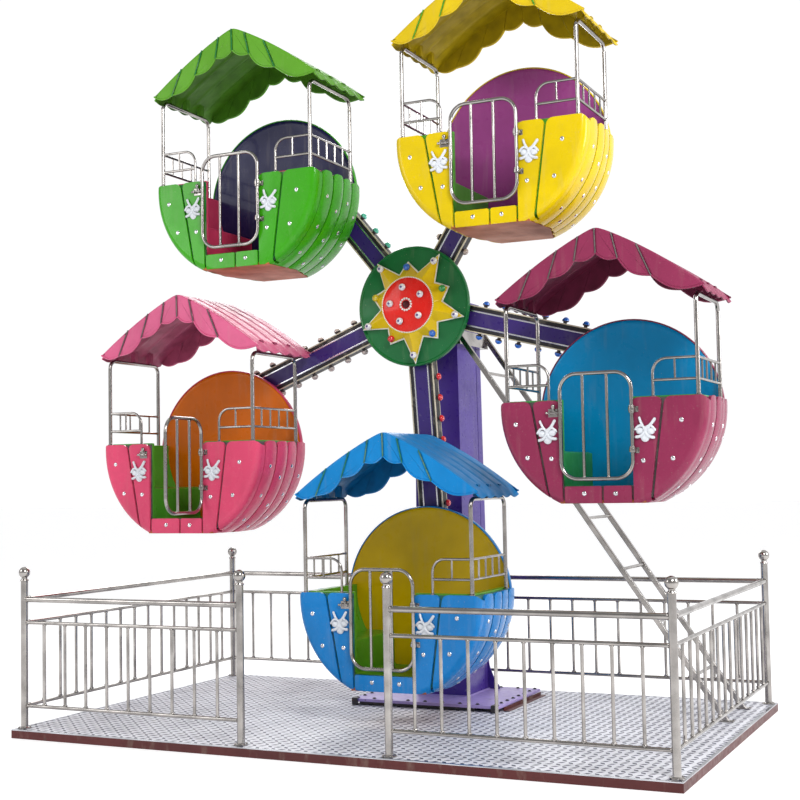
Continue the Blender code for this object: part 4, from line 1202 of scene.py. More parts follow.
def arm_strips(kind):
    strips = []
    for side in (-1, 1):
        for near, far, front, back in ARM_STRIPS[kind]:
            low, high = sorted((side * near, side * far))
            strips.append(block((ARM_START + 0.006, front, low), (ARM_REACH - 0.060, back, high), 0.0016))
    return joined(strips)


def build_arms(sizes, paint):
    """Five box arms with an eye at the end, each edge with a bright strip, a groove and a pale strip."""
    body = arm_body()
    strips = {kind: arm_strips(kind) for kind in ARM_STRIPS}
    # The arms take the column's purple at 0.62: a shaded copy of the same paint, painted shade on their front
    # faces.
    purple = finish_named("arm enamel", enamel, shade(paint.purple, 0.62), linear(150, 140, 150), 0.25, 0.24)
    looks = {"silver": finish_named("silver strip", bright_steel, linear(226, 226, 230), 0.16, 0.34),
             "groove": finish_named("black groove", dull_plastic, linear(34, 32, 36), 0.4),
             "pale": finish_named("pale strip", enamel, linear(206, 196, 172), RUST, 0.6, 0.3)}
    count = int((ARM_REACH - 0.60) / sizes.bulb_step) + 1
    middle = (ARM_FRONT + ARM_BACK) / 2 - 0.008
    for colour in CABINS:
        place = along_arm(colour)
        spoke = "spoke_" + colour
        dressed(copied(body, place), spoke, "wheel", purple, ["arm_" + colour])
        for kind, sample in strips.items():
            dressed(copied(sample, place), spoke + "_" + kind, "wheel", looks[kind])
        tone, sides = ARM_BULBS[colour]
        spots = [place @ aimed((FIRST_BULB + i * sizes.bulb_step, middle, side * (ARM_HALF + 0.020)),
                               (0.0, 0.0, side)) for side in sides for i in range(count)]
        bulbs(spoke, tone, sizes, spots, 0.024)
    removed(body, *strips.values())


# Cabin: the tub. Everything is drawn about the pivot.

STATIONS = ((HULL_FRONT, 0.0), (HULL_MIDDLE, 0.01), (HULL_BACK, -0.03))
ROUND_DEPTH = 0.050
PLANK_DEPTH = 0.088
PLANK_SOFT = 0.050
STAVE_TOP = 0.045
GROOVE_LEFT = ((-0.465, -0.365), (-0.353, -1.0))
GROOVE_RIGHT = ((0.413, -0.365), (0.325, -1.0))
SILL_GROOVE = 0.005
SILL_GAP = 0.011
INSIDE = Vector((0.0, -0.12, HULL_Z))


def hull_radius(y):
    """The tub is a little wider in the middle than at its front and back."""
    for (y0, d0), (y1, d1) in zip(STATIONS, STATIONS[1:]):
        if y <= y1:
            return HULL_R + d0 + (d1 - d0) * (y - y0) / (y1 - y0)
    return HULL_R + STATIONS[-1][1]


def drum(profile):
    """An open skin round the hull's own axis, from a profile of radius and place along Y."""
    skin = spun(profile, (0.0, 0.0, HULL_Z), "Y", 96)
    with editing(skin):
        bpy.ops.mesh.remove_doubles(threshold=0.00001)
    return skin


def thickened(sheet, thickness, edge):
    """A cut sheet turned to face away from the tub's inside, given its thickness and rolled edges."""
    faces = sheet.data.polygons
    if sum((face.center - INSIDE).dot(face.normal) * face.area for face in faces) < 0.0:
        sheet.data.flip_normals()
    applied(sheet, "SOLIDIFY", thickness=thickness, offset=-1.0, use_even_offset=True)
    return rounded(weld(sheet), edge, 3, 48.0)


def soft_corner(cut, top, radius, steps=7):
    """Planes that round off the corner between a side cut and the top, facet by facet."""
    point, side = cut
    z = top - radius
    centre = Vector((point.x - (radius + (z - point.z) * side.z) / side.x, 0.0, z))
    ways = [side.slerp(UP, (k + 0.5) / steps) for k in range(steps)]
    return [(centre + way * radius, way) for way in ways]


def cut_at(x, side):
    """An upright cutting plane; side is 1 to take off what lies to the right of it, -1 for the left."""
    return Vector((x, 0.0, 0.0)), RIGHT * side


def leaning_cut(line, offset, side):
    """A cutting plane through a slanting groove, moved aside by offset."""
    (xa, za), (xb, zb) = line
    way = Vector((xb - xa, 0.0, zb - za)).normalized()
    across = Vector((-way.z, 0.0, way.x))
    if across.x * side < 0:
        across = -across
    return Vector((xa, HULL_FRONT, za)) - across * offset, across


def build_planks(sizes):
    """The front of the tub: six planks, the outer ones rolled round on to the sides."""
    y = HULL_FRONT
    half = sizes.groove / 2
    soft = PLANK_SOFT
    profile = [(0.0, y), (0.30, y), (0.50, y)]
    for turn in (radians(90 * (1 - i / 6)) for i in range(7)):
        profile.append((HULL_R + 0.0005 - ROUND_DEPTH * (1 - cos(turn)), y + ROUND_DEPTH * (1 - sin(turn))))
    profile.append((hull_radius(y + PLANK_DEPTH), y + PLANK_DEPTH))
    skin = drum(profile)
    top = ((0.0, 0.0, RIM), UP)
    foot = ((0.0, 0.0, BOTTOM), -UP)
    sill = ((0.0, 0.0, SILL - 0.001), UP)
    door_left, door_right = cut_at(DOOR_LEFT - 0.003, 1), cut_at(DOOR_RIGHT + 0.003, -1)
    inner_left, inner_right = leaning_cut(GROOVE_LEFT, half, -1), leaning_cut(GROOVE_RIGHT, half, 1)

    # the far ends of the outer planks are rounded off seen from the side too
    turns = [radians(6 + 13 * k) for k in range(7)]
    ways = [Vector((0.0, cos(turn), sin(turn))) for turn in turns]
    roll = [(Vector((0.0, y + PLANK_DEPTH - soft, RIM - soft)) + way * soft, way) for way in ways]
    cuts = []
    for line, side in ((GROOVE_LEFT, -1.0), (GROOVE_RIGHT, 1.0)):
        inner = leaning_cut(line, half, -side)
        end = cut_at(side * (HULL_R + 0.004), side)
        rim = (end[0] + UP * RIM, end[1])
        cuts.append([top, foot, inner, *soft_corner(inner, RIM, soft), *roll, *soft_corner(rim, RIM, soft)])
    cuts.append([top, foot, inner_left, door_left, *soft_corner(inner_left, RIM, 0.036),
                 *soft_corner(door_left, RIM, soft)])
    cuts.append([top, foot, door_right, inner_right, *soft_corner(door_right, RIM, soft),
                 *soft_corner(inner_right, RIM, 0.036)])
    for pair in ((cut_at(DOOR_LEFT + SILL_GAP, -1), cut_at(SILL_GROOVE - half * 0.8, 1)),
                 (cut_at(SILL_GROOVE + half * 0.8, -1), cut_at(DOOR_RIGHT - SILL_GAP, 1))):
        corners = [plane for side in pair for plane in soft_corner(side, SILL, 0.016)]
        cuts.append([sill, foot, *pair, *corners])
    planks = []
    for planes in cuts:
        plank = copied(skin)
        for plane in planes:
            trimmed(plank, *plane)
        planks.append(thickened(plank, sizes.plank, sizes.plank * 0.45))
    removed(skin)
    return planks


def stave_edges(sizes):
    """Where each stave starts and ends along Y."""
    first = HULL_FRONT + PLANK_DEPTH + sizes.groove
    step = (HULL_BACK - first + sizes.groove) / sizes.staves
    return [(first + i * step, first + (i + 1) * step - sizes.groove) for i in range(sizes.staves)]


def build_staves(sizes):
    """The tub's sides: bowed staves that follow the hull round, with rounded tops at the rim."""
    staves = []
    for near, far in stave_edges(sizes):
        shares = [(1.0 - cos(pi * k / 14)) / 2 for k in range(15)]
        places = [near + (far - near) * share for share in shares]
        band = drum([(hull_radius(y) - 0.0065 * (2 * share - 1) ** 2, y) for share, y in zip(shares, places)])
        for plane in (((0.0, 0.0, BOTTOM), -UP), ((0.0, 0.0, RIM), UP), cut_at(0.0, -1)):
            trimmed(band, *plane)
        for corner in band.data.vertices:
            over = max(0.0, STAVE_TOP - min(corner.co.y - near, far - corner.co.y))
            limit = RIM - STAVE_TOP + sqrt(max(0.0, STAVE_TOP ** 2 - over ** 2))
            corner.co.z = min(corner.co.z, limit)
        with editing(band):
            bpy.ops.mesh.remove_doubles(threshold=0.0004)
            bpy.ops.mesh.dissolve_degenerate(threshold=0.0004)
        thickened(band, sizes.plank * 0.9, 0.0055)
        staves += [band, mirrored(band)]
    return staves


def hull_section(y, inset, top, low, count=18):
    """The U of the hull at one depth, from rim to rim, as corners in X and Z."""
    radius = hull_radius(y) - inset
    last = -asin(min(1.0, (HULL_Z - low) / radius))
    turns = [last * i / count for i in range(count + 1)]
    right = [(radius, top)] + [(radius * cos(t), HULL_Z + radius * sin(t)) for t in turns]
    return right + [(-x, z) for x, z in reversed(right)]


def hull_form(levels, top, low):
    """A closed form through the hull's sections at levels of depth and inset."""
    return lofted([[(x, y, z) for x, z in hull_section(y, inset, top, low)] for y, inset in levels])


def build_hull(sizes):
    """The shell behind the planks, which shows as the colour in the grooves."""
    skin = sizes.plank * 0.72
    front = HULL_FRONT + skin
    back = HULL_BACK - 0.006
    inner = HULL_FRONT + 0.036
    top = RIM - 0.004
    depths = [(y, max(0.0, HULL_FRONT + ROUND_DEPTH - y)) for y in (front, HULL_MIDDLE, back)]
    outside = [(y, skin + ROUND_DEPTH - sqrt(ROUND_DEPTH ** 2 - depth ** 2)) for y, depth in depths]
    shell = hull_form(outside, top, BOTTOM + 0.004)
    hollow = hull_form([(y, 0.0582) for y in (inner, HULL_MIDDLE, back - 0.030)], top + 0.03, BOTTOM + 0.031)
    doorway = block((DOOR_LEFT, front - 0.05, SILL), (DOOR_RIGHT, inner + 0.01, top + 0.03))
    for tool in (hollow, doorway):
        applied(shell, "BOOLEAN", operation="DIFFERENCE", solver="EXACT", object=tool)
        removed(tool)
    for side in (-1.0, 1.0):
        rim = (Vector((side * (HULL_R - skin), 0.0, RIM)), RIGHT * side)
        for plane in soft_corner(rim, RIM, 0.045, 3):
            trimmed(shell, *plane, fill=True)
    return rounded(weld(shell), 0.003, 2, 50.0)


def build_underside():
    """The flat foot of the tub."""
    half = [(sqrt((hull_radius(y) - 0.004) ** 2 - (HULL_Z - BOTTOM) ** 2) - 0.002, y)
            for y in (HULL_FRONT + 0.012, HULL_MIDDLE, HULL_BACK - 0.004)]
    ring = half + [(-x, y) for x, y in reversed(half)]
    return rounded(slab(ring, "Z", BOTTOM - 0.0015, BOTTOM + 0.020), 0.003)


def build_back():
    """The round back wall with its rolled rim, and the hull's end under it."""
    wall = lathe([(0.0, 0.2405), (0.596, 0.2405), (0.614, 0.2445), (0.630, 0.2475), (0.640, 0.2460),
                  (0.6455, 0.2390), (0.6465, 0.2260), (0.6460, 0.2130), (0.6440, 0.2080), (0.6405, 0.2060),
                  (0.6375, 0.2080), (0.6365, 0.2155), (0.0, 0.2155)], (0.0, 0.0, BACK_Z), "Y", 96)
    trimmed(wall, (0.0, 0.0, RIM - 0.004), -UP, fill=True)
    end = slab(hull_section(HULL_BACK, 0.004, RIM - 0.0035, BOTTOM + 0.002), "Y", 0.2155, HULL_BACK - 0.001)
    return joined([weld(wall), rounded(end, 0.006, 3, 50.0)])


def build_mount():
    """Steel behind the cabin: a flanged plate, a strap down the back, the pin and its nut."""
    y = HULL_BACK
    pin_end = 0.424
    washer_face = 0.4175
    flange = lathe([(0.0, y - 0.006), (0.094, y - 0.006), (0.096, y + 0.002), (0.092, y + 0.010),
                    (0.050, y + 0.012), (0.044, y + 0.020), (0.038, y + 0.0225), (0.0215, y + 0.0225),
                    (0.0215, pin_end), (0.0195, pin_end + 0.002), (0.0, pin_end + 0.002)], steps=40)
    strap = slab([(-0.045, -0.94), (0.045, -0.94), (0.045, 0.02), (-0.045, 0.02)], "Y", y - 0.004, y + 0.005)
    webs = [block((x - 0.003, y + 0.002, -0.90), (x + 0.003, y + 0.017, -0.085), 0.001)
            for x in (-0.040, 0.040)]
    washer = lathe([(PIN_HOLE + 0.0003, 0.0), (0.038, 0.0), (0.038, 0.003), (PIN_HOLE + 0.0003, 0.003),
                    (PIN_HOLE + 0.0003, 0.0)], (0.0, washer_face, 0.0), "Y", 28)
    nut = slab(circle_points(0.034, 6), "Y", washer_face + 0.003, washer_face + 0.011)
    places = [aimed((x, y + 0.009, z), BEHIND, atan2(z, x)) for x, z in circle_points(0.074, 6, pi / 6)]
    places += [aimed((x, y + 0.004, z), BEHIND, z * 9)
               for x in (-0.022, 0.022) for z in (-0.30, -0.60, -0.88)]
    return joined([flange, rounded(strap, 0.002), *webs, washer, rounded(nut, 0.002),
                   bolts_at(places, 0.0085, 0.0075)])


def build_panel():
    """The round coloured panel behind the riders, slightly dished inside a raised bead."""
    disc = lathe([(0.0, 0.2125), (0.30, 0.2118), (0.52, 0.2105), (0.588, 0.2095), (0.604, 0.2072),
                  (0.618, 0.2066), (0.629, 0.2085), (0.6355, 0.2120), (0.636, 0.2150), (0.0, 0.2150)],
                 (0.0, 0.0, BACK_Z), "Y", 96)
    return weld(trimmed(disc, (0.0, 0.0, BOTTOM + 0.034), -UP, fill=True))


SEAT = -0.69
LINER_TOP = RIM + 0.007
LINER_LOW = BOTTOM + 0.0305
LINER_FRONT = HULL_FRONT + 0.0355
LINER_END = 0.2063
LINER_WALL = 0.030


def liner_section(y):
    """One section of the inner shell: down the outside, and back along the benches and the floor."""
    radius = hull_radius(LINER_END) - LINER_INSET - LINER_WALL
    last = asin((HULL_Z - SEAT) / radius)
    seat_x = sqrt((radius - 0.004) ** 2 - (HULL_Z - SEAT) ** 2)
    inner = [(radius, LINER_TOP)]
    inner += [(radius * cos(last * i / 8), HULL_Z - radius * sin(last * i / 8)) for i in range(9)]
    inner += [(seat_x - 0.03, SEAT), (0.300, SEAT), (0.275, SEAT - 0.01), (0.275, SILL),
              (0.262, SILL - 0.015)]
    inner += [(-x, z) for x, z in reversed(inner)]
    ring = hull_section(y, LINER_INSET, LINER_TOP, LINER_LOW, 14) + inner[::-1]
    return [(x, y, z) for x, z in ring]


def build_liner():
    """The inner shell: walls, floor, and the two benches that face each other."""
    front, back = LINER_FRONT, LINER_FRONT + 0.029
    parts = [lofted([liner_section(y) for y in (front - 0.0002, HULL_MIDDLE, LINER_END)])]
    radius = hull_radius(front) - LINER_INSET - 0.001
    for side, edge in ((-1, DOOR_LEFT), (1, DOOR_RIGHT)):
        last = asin((HULL_Z - LINER_LOW - 0.01) / radius)
        turns = [last * i / 12 for i in range(13)]
        points = [(edge, LINER_TOP), (side * radius, LINER_TOP)]
        points += [(side * radius * cos(t), HULL_Z - radius * sin(t)) for t in turns
                   if radius * cos(t) >= abs(edge)]
        points.append((edge, points[-1][1]))
        parts.append(slab(points, "Y", front, back))
    step = block((DOOR_LEFT - 0.01, front - 0.0001, LINER_LOW + 0.004), (DOOR_RIGHT + 0.01, back, SILL))
    return joined([rounded(part, 0.006, 3, 40.0) for part in (*parts, step)])


FRONT_STUDS = ((-0.573, -0.512), (-0.496, -0.732), (-0.332, -0.741), (0.274, -0.765), (0.524, -0.517),
               (0.464, -0.755), (-0.117, -0.968), (0.090, -0.970))


def stud_places(sizes):
    """Studs on the front planks, and three on every stave, lower on every other one."""
    places = [aimed((x, HULL_FRONT - 0.0003, z), FRONT) for x, z in FRONT_STUDS]
    for i, (near, far) in enumerate(stave_edges(sizes)):
        y = (near + far) / 2
        for below in (12.0, 31.0, 50.0):
            turn = radians(below + (7.0 if i % 2 else 0.0))
            for side in (-1, 1):
                way = Vector((side * cos(turn), 0.0, -sin(turn)))
                places.append(aimed(Vector((0.0, y, HULL_Z)) + way * (hull_radius(y) - 0.0006), way))
    return places


# for each stem of the flower: where it starts and ends, how far it bows aside, and its radius
STEMS = (((-0.004, -0.006), (0.058, 0.064), -0.006, 0.010), ((0.004, -0.006), (-0.040, 0.070), 0.004, 0.008),
         ((0.004, 0.0), (-0.064, -0.004), -0.024, 0.008), ((-0.004, 0.0), (0.064, -0.004), 0.024, 0.008),
         ((0.0, -0.012), (0.056, -0.052), -0.012, 0.010), ((0.0, -0.012), (-0.056, -0.052), 0.012, 0.010))
# for each petal: its middle, and its half sizes
PETALS = (((0.035, -0.012), (0.026, 0.023, 0.015)), ((-0.035, -0.012), (0.026, 0.023, 0.015)),
          ((0.0, -0.048), (0.030, 0.034, 0.012)), ((0.0, -0.002), (0.016, 0.022, 0.018)))
# for each flower on a tub: where it sits on the front, and how many degrees it leans
FLOWERS = ((-0.356, -0.565, 4.0), (0.295, -0.568, -3.0))


def bowed(a, b, lift, count=7):
    """The run of a stem from a to b, swung aside and raised in the middle."""
    (xa, ya), (xb, yb) = a, b
    aside = Vector((ya - yb, xb - xa)).normalized() * lift
    return [(xa + (xb - xa) * s + aside.x * sin(pi * s), ya + (yb - ya) * s + aside.y * sin(pi * s),
             0.008 + 0.005 * sin(pi * s)) for s in (i / (count - 1) for i in range(count))]


def build_flowers():
    """Moulded flowers: two round lobes under bowed stems that cross, with petals below."""
    parts = []
    for a, b, lift, thick in STEMS:
        run = bowed(a, b, lift)
        parts += [tube(run, thick, sides=10), ball(run[-1], thick, 12)]
    for spot, size in PETALS:
        lobe = shifted(*spot, 0.003) @ Matrix.Diagonal((*size, 1.0))
        parts.append(moved(ball((0.0, 0.0, 0.0), 1.0, 16), lobe))
    return scattered(joined(parts), [shifted(x, HULL_FRONT - 0.001, z) @ turned(90, "X") @ turned(lean)
                                     for x, z, lean in FLOWERS])


# Cabin: the roof

RIDGE = 0.74
SLOPE = 0.47
CURVE = 0.23
RIDGE_ROUND = 0.03
ROOF_HALF = 0.70
ROOF_FRONT = -0.50
ROOF_BACK = 0.28
CUSPS = ((-0.70, 0.322), (-0.53, 0.312), (-0.325, 0.435), (-0.145, 0.535), (0.0, 0.575), (0.145, 0.53),
         (0.36, 0.40), (0.70, 0.322))
SPRINGS = (-0.70, -0.445, -0.262, -0.116, -0.004, 0.106, 0.268, 0.70)
TONGUE_BULGE = 0.16
TONGUE_GAP = 0.0010
BANDS = 5


def roof_z(x):
    r = sqrt(x * x + RIDGE_ROUND ** 2) - RIDGE_ROUND
    return RIDGE - SLOPE * r - CURVE * r * r


def tongue_edge(a, b, steps=10):
    """The round lower edge of one tongue, from cusp to cusp."""
    (xa, za), (xb, zb) = a, b
    bow_x, bow_z = TONGUE_BULGE * (zb - za), TONGUE_BULGE * (xa - xb)
    return [(xa + (xb - xa) * s + bow_x * sin(pi * s), za + (zb - za) * s + bow_z * sin(pi * s))
            for s in (i / steps for i in range(steps + 1))]


def build_roof_skin():
    """The sloping roof: crowned bands that run from ridge to eaves and end in scallops."""
    bpy.ops.mesh.primitive_grid_add(x_subdivisions=56, y_subdivisions=BANDS * 10, size=2.0)
    skin = bpy.context.object
    inset = 0.010
    span = ROOF_BACK - ROOF_FRONT - 2 * inset
    for corner in skin.data.vertices:
        side = abs(corner.co.x)
        share = (corner.co.y + 1) / 2
        band = share * BANDS % 1.0 if 0.0 < share < 1.0 else 0.0
        hollow = 0.0085 * (1.0 - min(1.0, sin(pi * band) * 1.6)) ** 1.5
        eave = max(0.0, (side - 0.90) / 0.10)
        x = corner.co.x * ROOF_HALF
        z = roof_z(x) - 0.0004 - hollow * (0.35 + 0.65 * min(1.0, side * 6.0))
        z -= eave ** 2 * (0.018 + 0.026 * sin(pi * band) ** 0.8)
        corner.co = (x, ROOF_FRONT + inset + span * share, z)
    applied(skin, "SOLIDIFY", thickness=0.009, offset=-1.0)
    return rounded(weld(skin), 0.0025, 2, 55.0)


def build_tongues(y, outward):
    """The valance at one end of the roof: seven pillowed tongues with rolled lower edges."""
    tongues = []
    last = len(CUSPS) - 2
    for i in range(last + 1):
        low = tongue_edge(CUSPS[i], CUSPS[i + 1])
        low[0] = (low[0][0] + TONGUE_GAP, low[0][1])
        low[-1] = (low[-1][0] - TONGUE_GAP, low[-1][1])
        start, end = SPRINGS[i + 1], SPRINGS[i]
        top = [(x, roof_z(x) - 0.003) for x in (start + (end - start) * k / 8 for k in range(9))]
        top[0] = (top[0][0] - TONGUE_GAP, top[0][1])
        top[-1] = (top[-1][0] + TONGUE_GAP, top[-1][1])
        # at the eaves the lower edge already reaches the roof
        top = top[1 if i == last else 0:-1 if i == 0 else None]
        tongue = slab(low + top, "Y", y, y - outward * 0.011)
        with picked(tongue, "FACE", lambda face: face.normal.y * outward > 0.9):
            bpy.ops.mesh.inset(thickness=0.005, depth=0.0045)
            bpy.ops.mesh.inset(thickness=0.012, depth=0.0035)
        tongues.append(rounded(tongue, 0.0016, 2, 50.0))
    return tongues


def build_creases(y):
    """The thin dark lines between the tongues."""
    return [tube([(cusp, y, low - 0.004), (x, y, roof_z(x) - 0.006)], 0.0046, sides=8)
            for (cusp, low), x in list(zip(CUSPS, SPRINGS))[1:-1]]


def build_rolled_edge(y):
    """A rounded bead along the tongues' lower edges, from eave to eave."""
    points = [(x, y, z) for a, b in zip(CUSPS, CUSPS[1:]) for x, z in tongue_edge(a, b)[:-1]]
    points[0] = (CUSPS[0][0] + 0.004, y, CUSPS[0][1])
    points.append((CUSPS[-1][0] - 0.004, y, CUSPS[-1][1]))
    return tube(points, 0.0062, sides=10)


def build_saddles():
    """Blocks between the hoops and the roof."""
    low = HOOP_TOP + HOOP_R + 0.0004
    return [block((side * HOOP_X - 0.019, y - 0.022, low),
                  (side * HOOP_X + 0.019, y + 0.022, roof_z(HOOP_X) - 0.002), 0.003)
            for side in (-1, 1) for y in (-0.36, -0.163, 0.035)]


def underside_shaded(roof):
    """Write on the faces that look down or inwards that they belong to the darker lining."""
    middle = (ROOF_FRONT + ROOF_BACK) / 2
    mark = roof.data.attributes.new("lining", "FLOAT", "FACE")
    for face in roof.data.polygons:
        x, y, z = face.center
        outwards = face.normal.y * (1.0 if y > middle else -1.0)
        down = face.normal.z < -0.05 and outwards < 0.2
        under = z < roof_z(x) - 0.011 and ROOF_FRONT + 0.03 < y < ROOF_BACK - 0.03 and abs(x) < 0.66
        mark.data[face.index].value = 1.0 if down or under or outwards < -0.7 else 0.0
    return roof


# Cabin: steelwork

HOOP_X = 0.632
HOOP_FRONT = -0.4725
HOOP_BACK = 0.145
HOOP_TOP = 0.275
HOOP_R = 0.014
RAIL_R = 0.009
RAIL_FOOT = 0.345
RAIL_TOP = -0.127
RAIL_LOW = -0.262
STEM_R = 0.0068
DOOR_LOOP = (-0.258, 0.215, -0.875, -0.200)
DOOR_R = 0.0125
BAR_R = 0.010
HINGE_Z = (-0.70, -0.44)
LATCH_Z = -0.445
KNOB_X = -0.306
PINK_DOOR_OPEN = 92.0


def build_side_hoop():
    """The hoop over one bench with the railing round its corner, for the right side."""
    foot = RIM + 0.0004
    x, front, back = HOOP_X, HOOP_FRONT, HOOP_BACK
    hoop = bent([(x, front, foot), (x, front, HOOP_TOP), (x, back, HOOP_TOP), (x, back, foot)], 0.06, 8)
    top = bent([(RAIL_FOOT, front, foot), (RAIL_FOOT, front, RAIL_TOP), (x, front, RAIL_TOP)], 0.09, 8)
    parts = [tube(hoop, HOOP_R, sides=16), tube(top, RAIL_R)]
    for a, b, z in (((x, front), (x, back), RAIL_TOP), ((RAIL_FOOT, front), (x, front), RAIL_LOW),
                    ((x, front), (x, back), RAIL_LOW)):
        parts.append(tube([(*a, z), (*b, z)], RAIL_R))
    stem = tube([(0.0, 0.0, RAIL_LOW), (0.0, 0.0, RAIL_TOP)], STEM_R, sides=10)
    spots = [shifted(0.487, front)] + [shifted(x, front + (back - front) * i / 5) for i in range(1, 5)]
    parts.append(scattered(stem, spots))
    for spot, r in (((x, front), HOOP_R), ((x, back), HOOP_R), ((RAIL_FOOT, front), RAIL_R)):
        parts.append(lathe([(0.0, 0.0), (r + 0.0065, 0.0), (r + 0.0065, 0.0036), (r + 0.002, 0.0061),
                            (r, 0.0096), (0.0, 0.0096)], (*spot, foot), "Z", 20))
    for y in (front + HOOP_R + 0.001, back - HOOP_R - 0.001):
        parts += [moved(ring_bead(RAIL_R, 0.0032), aimed((x, y, z), BEHIND)) for z in (RAIL_TOP, RAIL_LOW)]
    return joined(parts)


def build_gate():
    """The barred door on its hinge line, drawn closed."""
    x0, x1, z0, z1 = DOOR_LOOP
    y = HINGE.y
    loop = bent([(x0, y, z0), (x1, y, z0), (x1, y, z1), (x0, y, z1)], 0.11, 9, closed=True)
    parts = [tube(loop, DOOR_R, closed=True, sides=14)]
    inset = DOOR_R + 0.001
    for x in (-0.105, 0.055):
        parts.append(tube([(x, y, z0), (x, y, z1)], BAR_R))
        parts += [moved(ring_bead(BAR_R, 0.003), shifted(x, y, z)) for z in (z0 + inset, z1 - inset)]
    collar = [(DOOR_R, 0.0), (DOOR_R + 0.007, 0.0), (DOOR_R + 0.0078, 0.002), (DOOR_R + 0.0078, 0.010),
              (DOOR_R + 0.007, 0.012), (DOOR_R, 0.012), (DOOR_R, 0.0)]
    below, above = HINGE_Z
    for low in (below + 0.0123, above + 0.0123, above - 0.0243):
        parts.append(lathe(collar, (HINGE.x, y, low), "Z", 20))
    return joined(parts)


def build_hinges():
    """Two eyes that hold the door, each on an arm from a leaf on the tub."""
    parts = []
    x, y = HINGE.x, HINGE.y
    hole = DOOR_R + 0.0025
    eye = [(hole, -0.0118), (0.022, -0.0118), (0.0232, -0.010), (0.0232, 0.010), (0.022, 0.0118),
           (hole, 0.0118), (hole, -0.0118)]
    for z in HINGE_Z:
        parts.append(lathe(eye, (x, y, z), "Z", 24))
        parts.append(block((x + 0.012, y + 0.004, z - 0.0105),
                           (x + 0.032, HULL_FRONT + 0.003, z + 0.0105), 0.002))
        parts.append(block((x + 0.004, HULL_FRONT - 0.0036, z - 0.018),
                           (x + 0.038, HULL_FRONT + 0.002, z + 0.018), 0.0016))
    return parts


def build_latch():
    """The sliding bolt in its two keeps on a plate, with its knob."""
    y = HULL_FRONT - 0.0165
    z = LATCH_Z
    parts = [tube([(-0.352, y, z), (-0.2735, y, z)], 0.0075), ball((-0.352, y, z), 0.0095, 12),
             block((-0.345, HULL_FRONT - 0.004, z - 0.027), (-0.281, HULL_FRONT + 0.002, z + 0.027), 0.002),
             tube([(KNOB_X, y, z), (KNOB_X, y - 0.004, z + 0.027)], 0.005, sides=10)]
    parts += [block((x - 0.006, HULL_FRONT - 0.027, z - 0.011), (x + 0.006, HULL_FRONT, z + 0.011), 0.003)
              for x in (-0.333, -0.291)]
    knob = [(0.0, 0.023), (0.008, 0.024), (0.012, 0.031), (0.0145, 0.040), (0.012, 0.049), (0.006, 0.054),
            (0.0, 0.055)]
    return [*parts, lathe(knob, (KNOB_X, y - 0.004, z), "Z", 20)]


# Operators, one for each piece or group of like pieces

def settings(context):
    return context.scene.ferris_sizes, context.scene.ferris_paint


class FERRIS_OT_deck(bpy.types.Operator):
    """Four sheets of tread plate, with the raised bars on them"""

    bl_idname = "ferris.deck"
    bl_label = "Deck"

    def execute(self, context):
        build_deck(context.scene.ferris_sizes)
        return {"FINISHED"}


class FERRIS_OT_edge_frame(bpy.types.Operator):
    """Channels and cross members under the deck, with the edge strips and the post feet"""

    bl_idname = "ferris.edge_frame"
    bl_label = "Edge frame"

    def execute(self, context):
        build_edge_frame(context.scene.ferris_paint)
        build_post_fittings()
        return {"FINISHED"}


class FERRIS_OT_fences(bpy.types.Operator):
    """Posts with ball tops, rails and balusters round the platform"""

    bl_idname = "ferris.fences"
    bl_label = "Fences"

    def execute(self, context):
        build_fences(context.scene.ferris_paint)
        return {"FINISHED"}


class FERRIS_OT_column(bpy.types.Operator):
    """The tapered column with its bearing flange"""

    bl_idname = "ferris.column"
    bl_label = "Column"

    def execute(self, context):
        build_column(context.scene.ferris_paint)
        build_bearing()
        return {"FINISHED"}


class FERRIS_OT_foot(bpy.types.Operator):
    """The bolted base plate on its pads"""

    bl_idname = "ferris.foot"
    bl_label = "Column foot"

    def execute(self, context):
        build_foot(context.scene.ferris_paint)
        build_foot_fittings(context.scene.ferris_paint)
        return {"FINISHED"}


class FERRIS_OT_drive(bpy.types.Operator):
    """The gearbox and motor behind the column"""

    bl_idname = "ferris.drive"
    bl_label = "Drive"

    def execute(self, context):
        build_drive()
        return {"FINISHED"}


class FERRIS_OT_ladder(bpy.types.Operator):
    """The service ladder that leans on the column"""

    bl_idname = "ferris.ladder"
    bl_label = "Ladder"

    def execute(self, context):
        build_ladder(context.scene.ferris_paint)
        return {"FINISHED"}


class FERRIS_OT_hub(bpy.types.Operator):
    """The hub with its disc, star, red centre and bulbs"""

    bl_idname = "ferris.hub"
    bl_label = "Hub"

    def execute(self, context):
        sizes, paint = settings(context)
        white = finish_named("white edging", gelcoat, linear(236, 236, 226), 0.25)
        build_hub_block(paint)
        build_hub_disc(paint)
        build_star(paint, white)
        build_centre(paint, white)
        build_hub_lamps(sizes)
        return {"FINISHED"}


class FERRIS_OT_arms(bpy.types.Operator):
    """Five arms with their strips and bulbs"""

    bl_idname = "ferris.arms"
    bl_label = "Arms"

    def execute(self, context):
        build_arms(*settings(context))
        return {"FINISHED"}


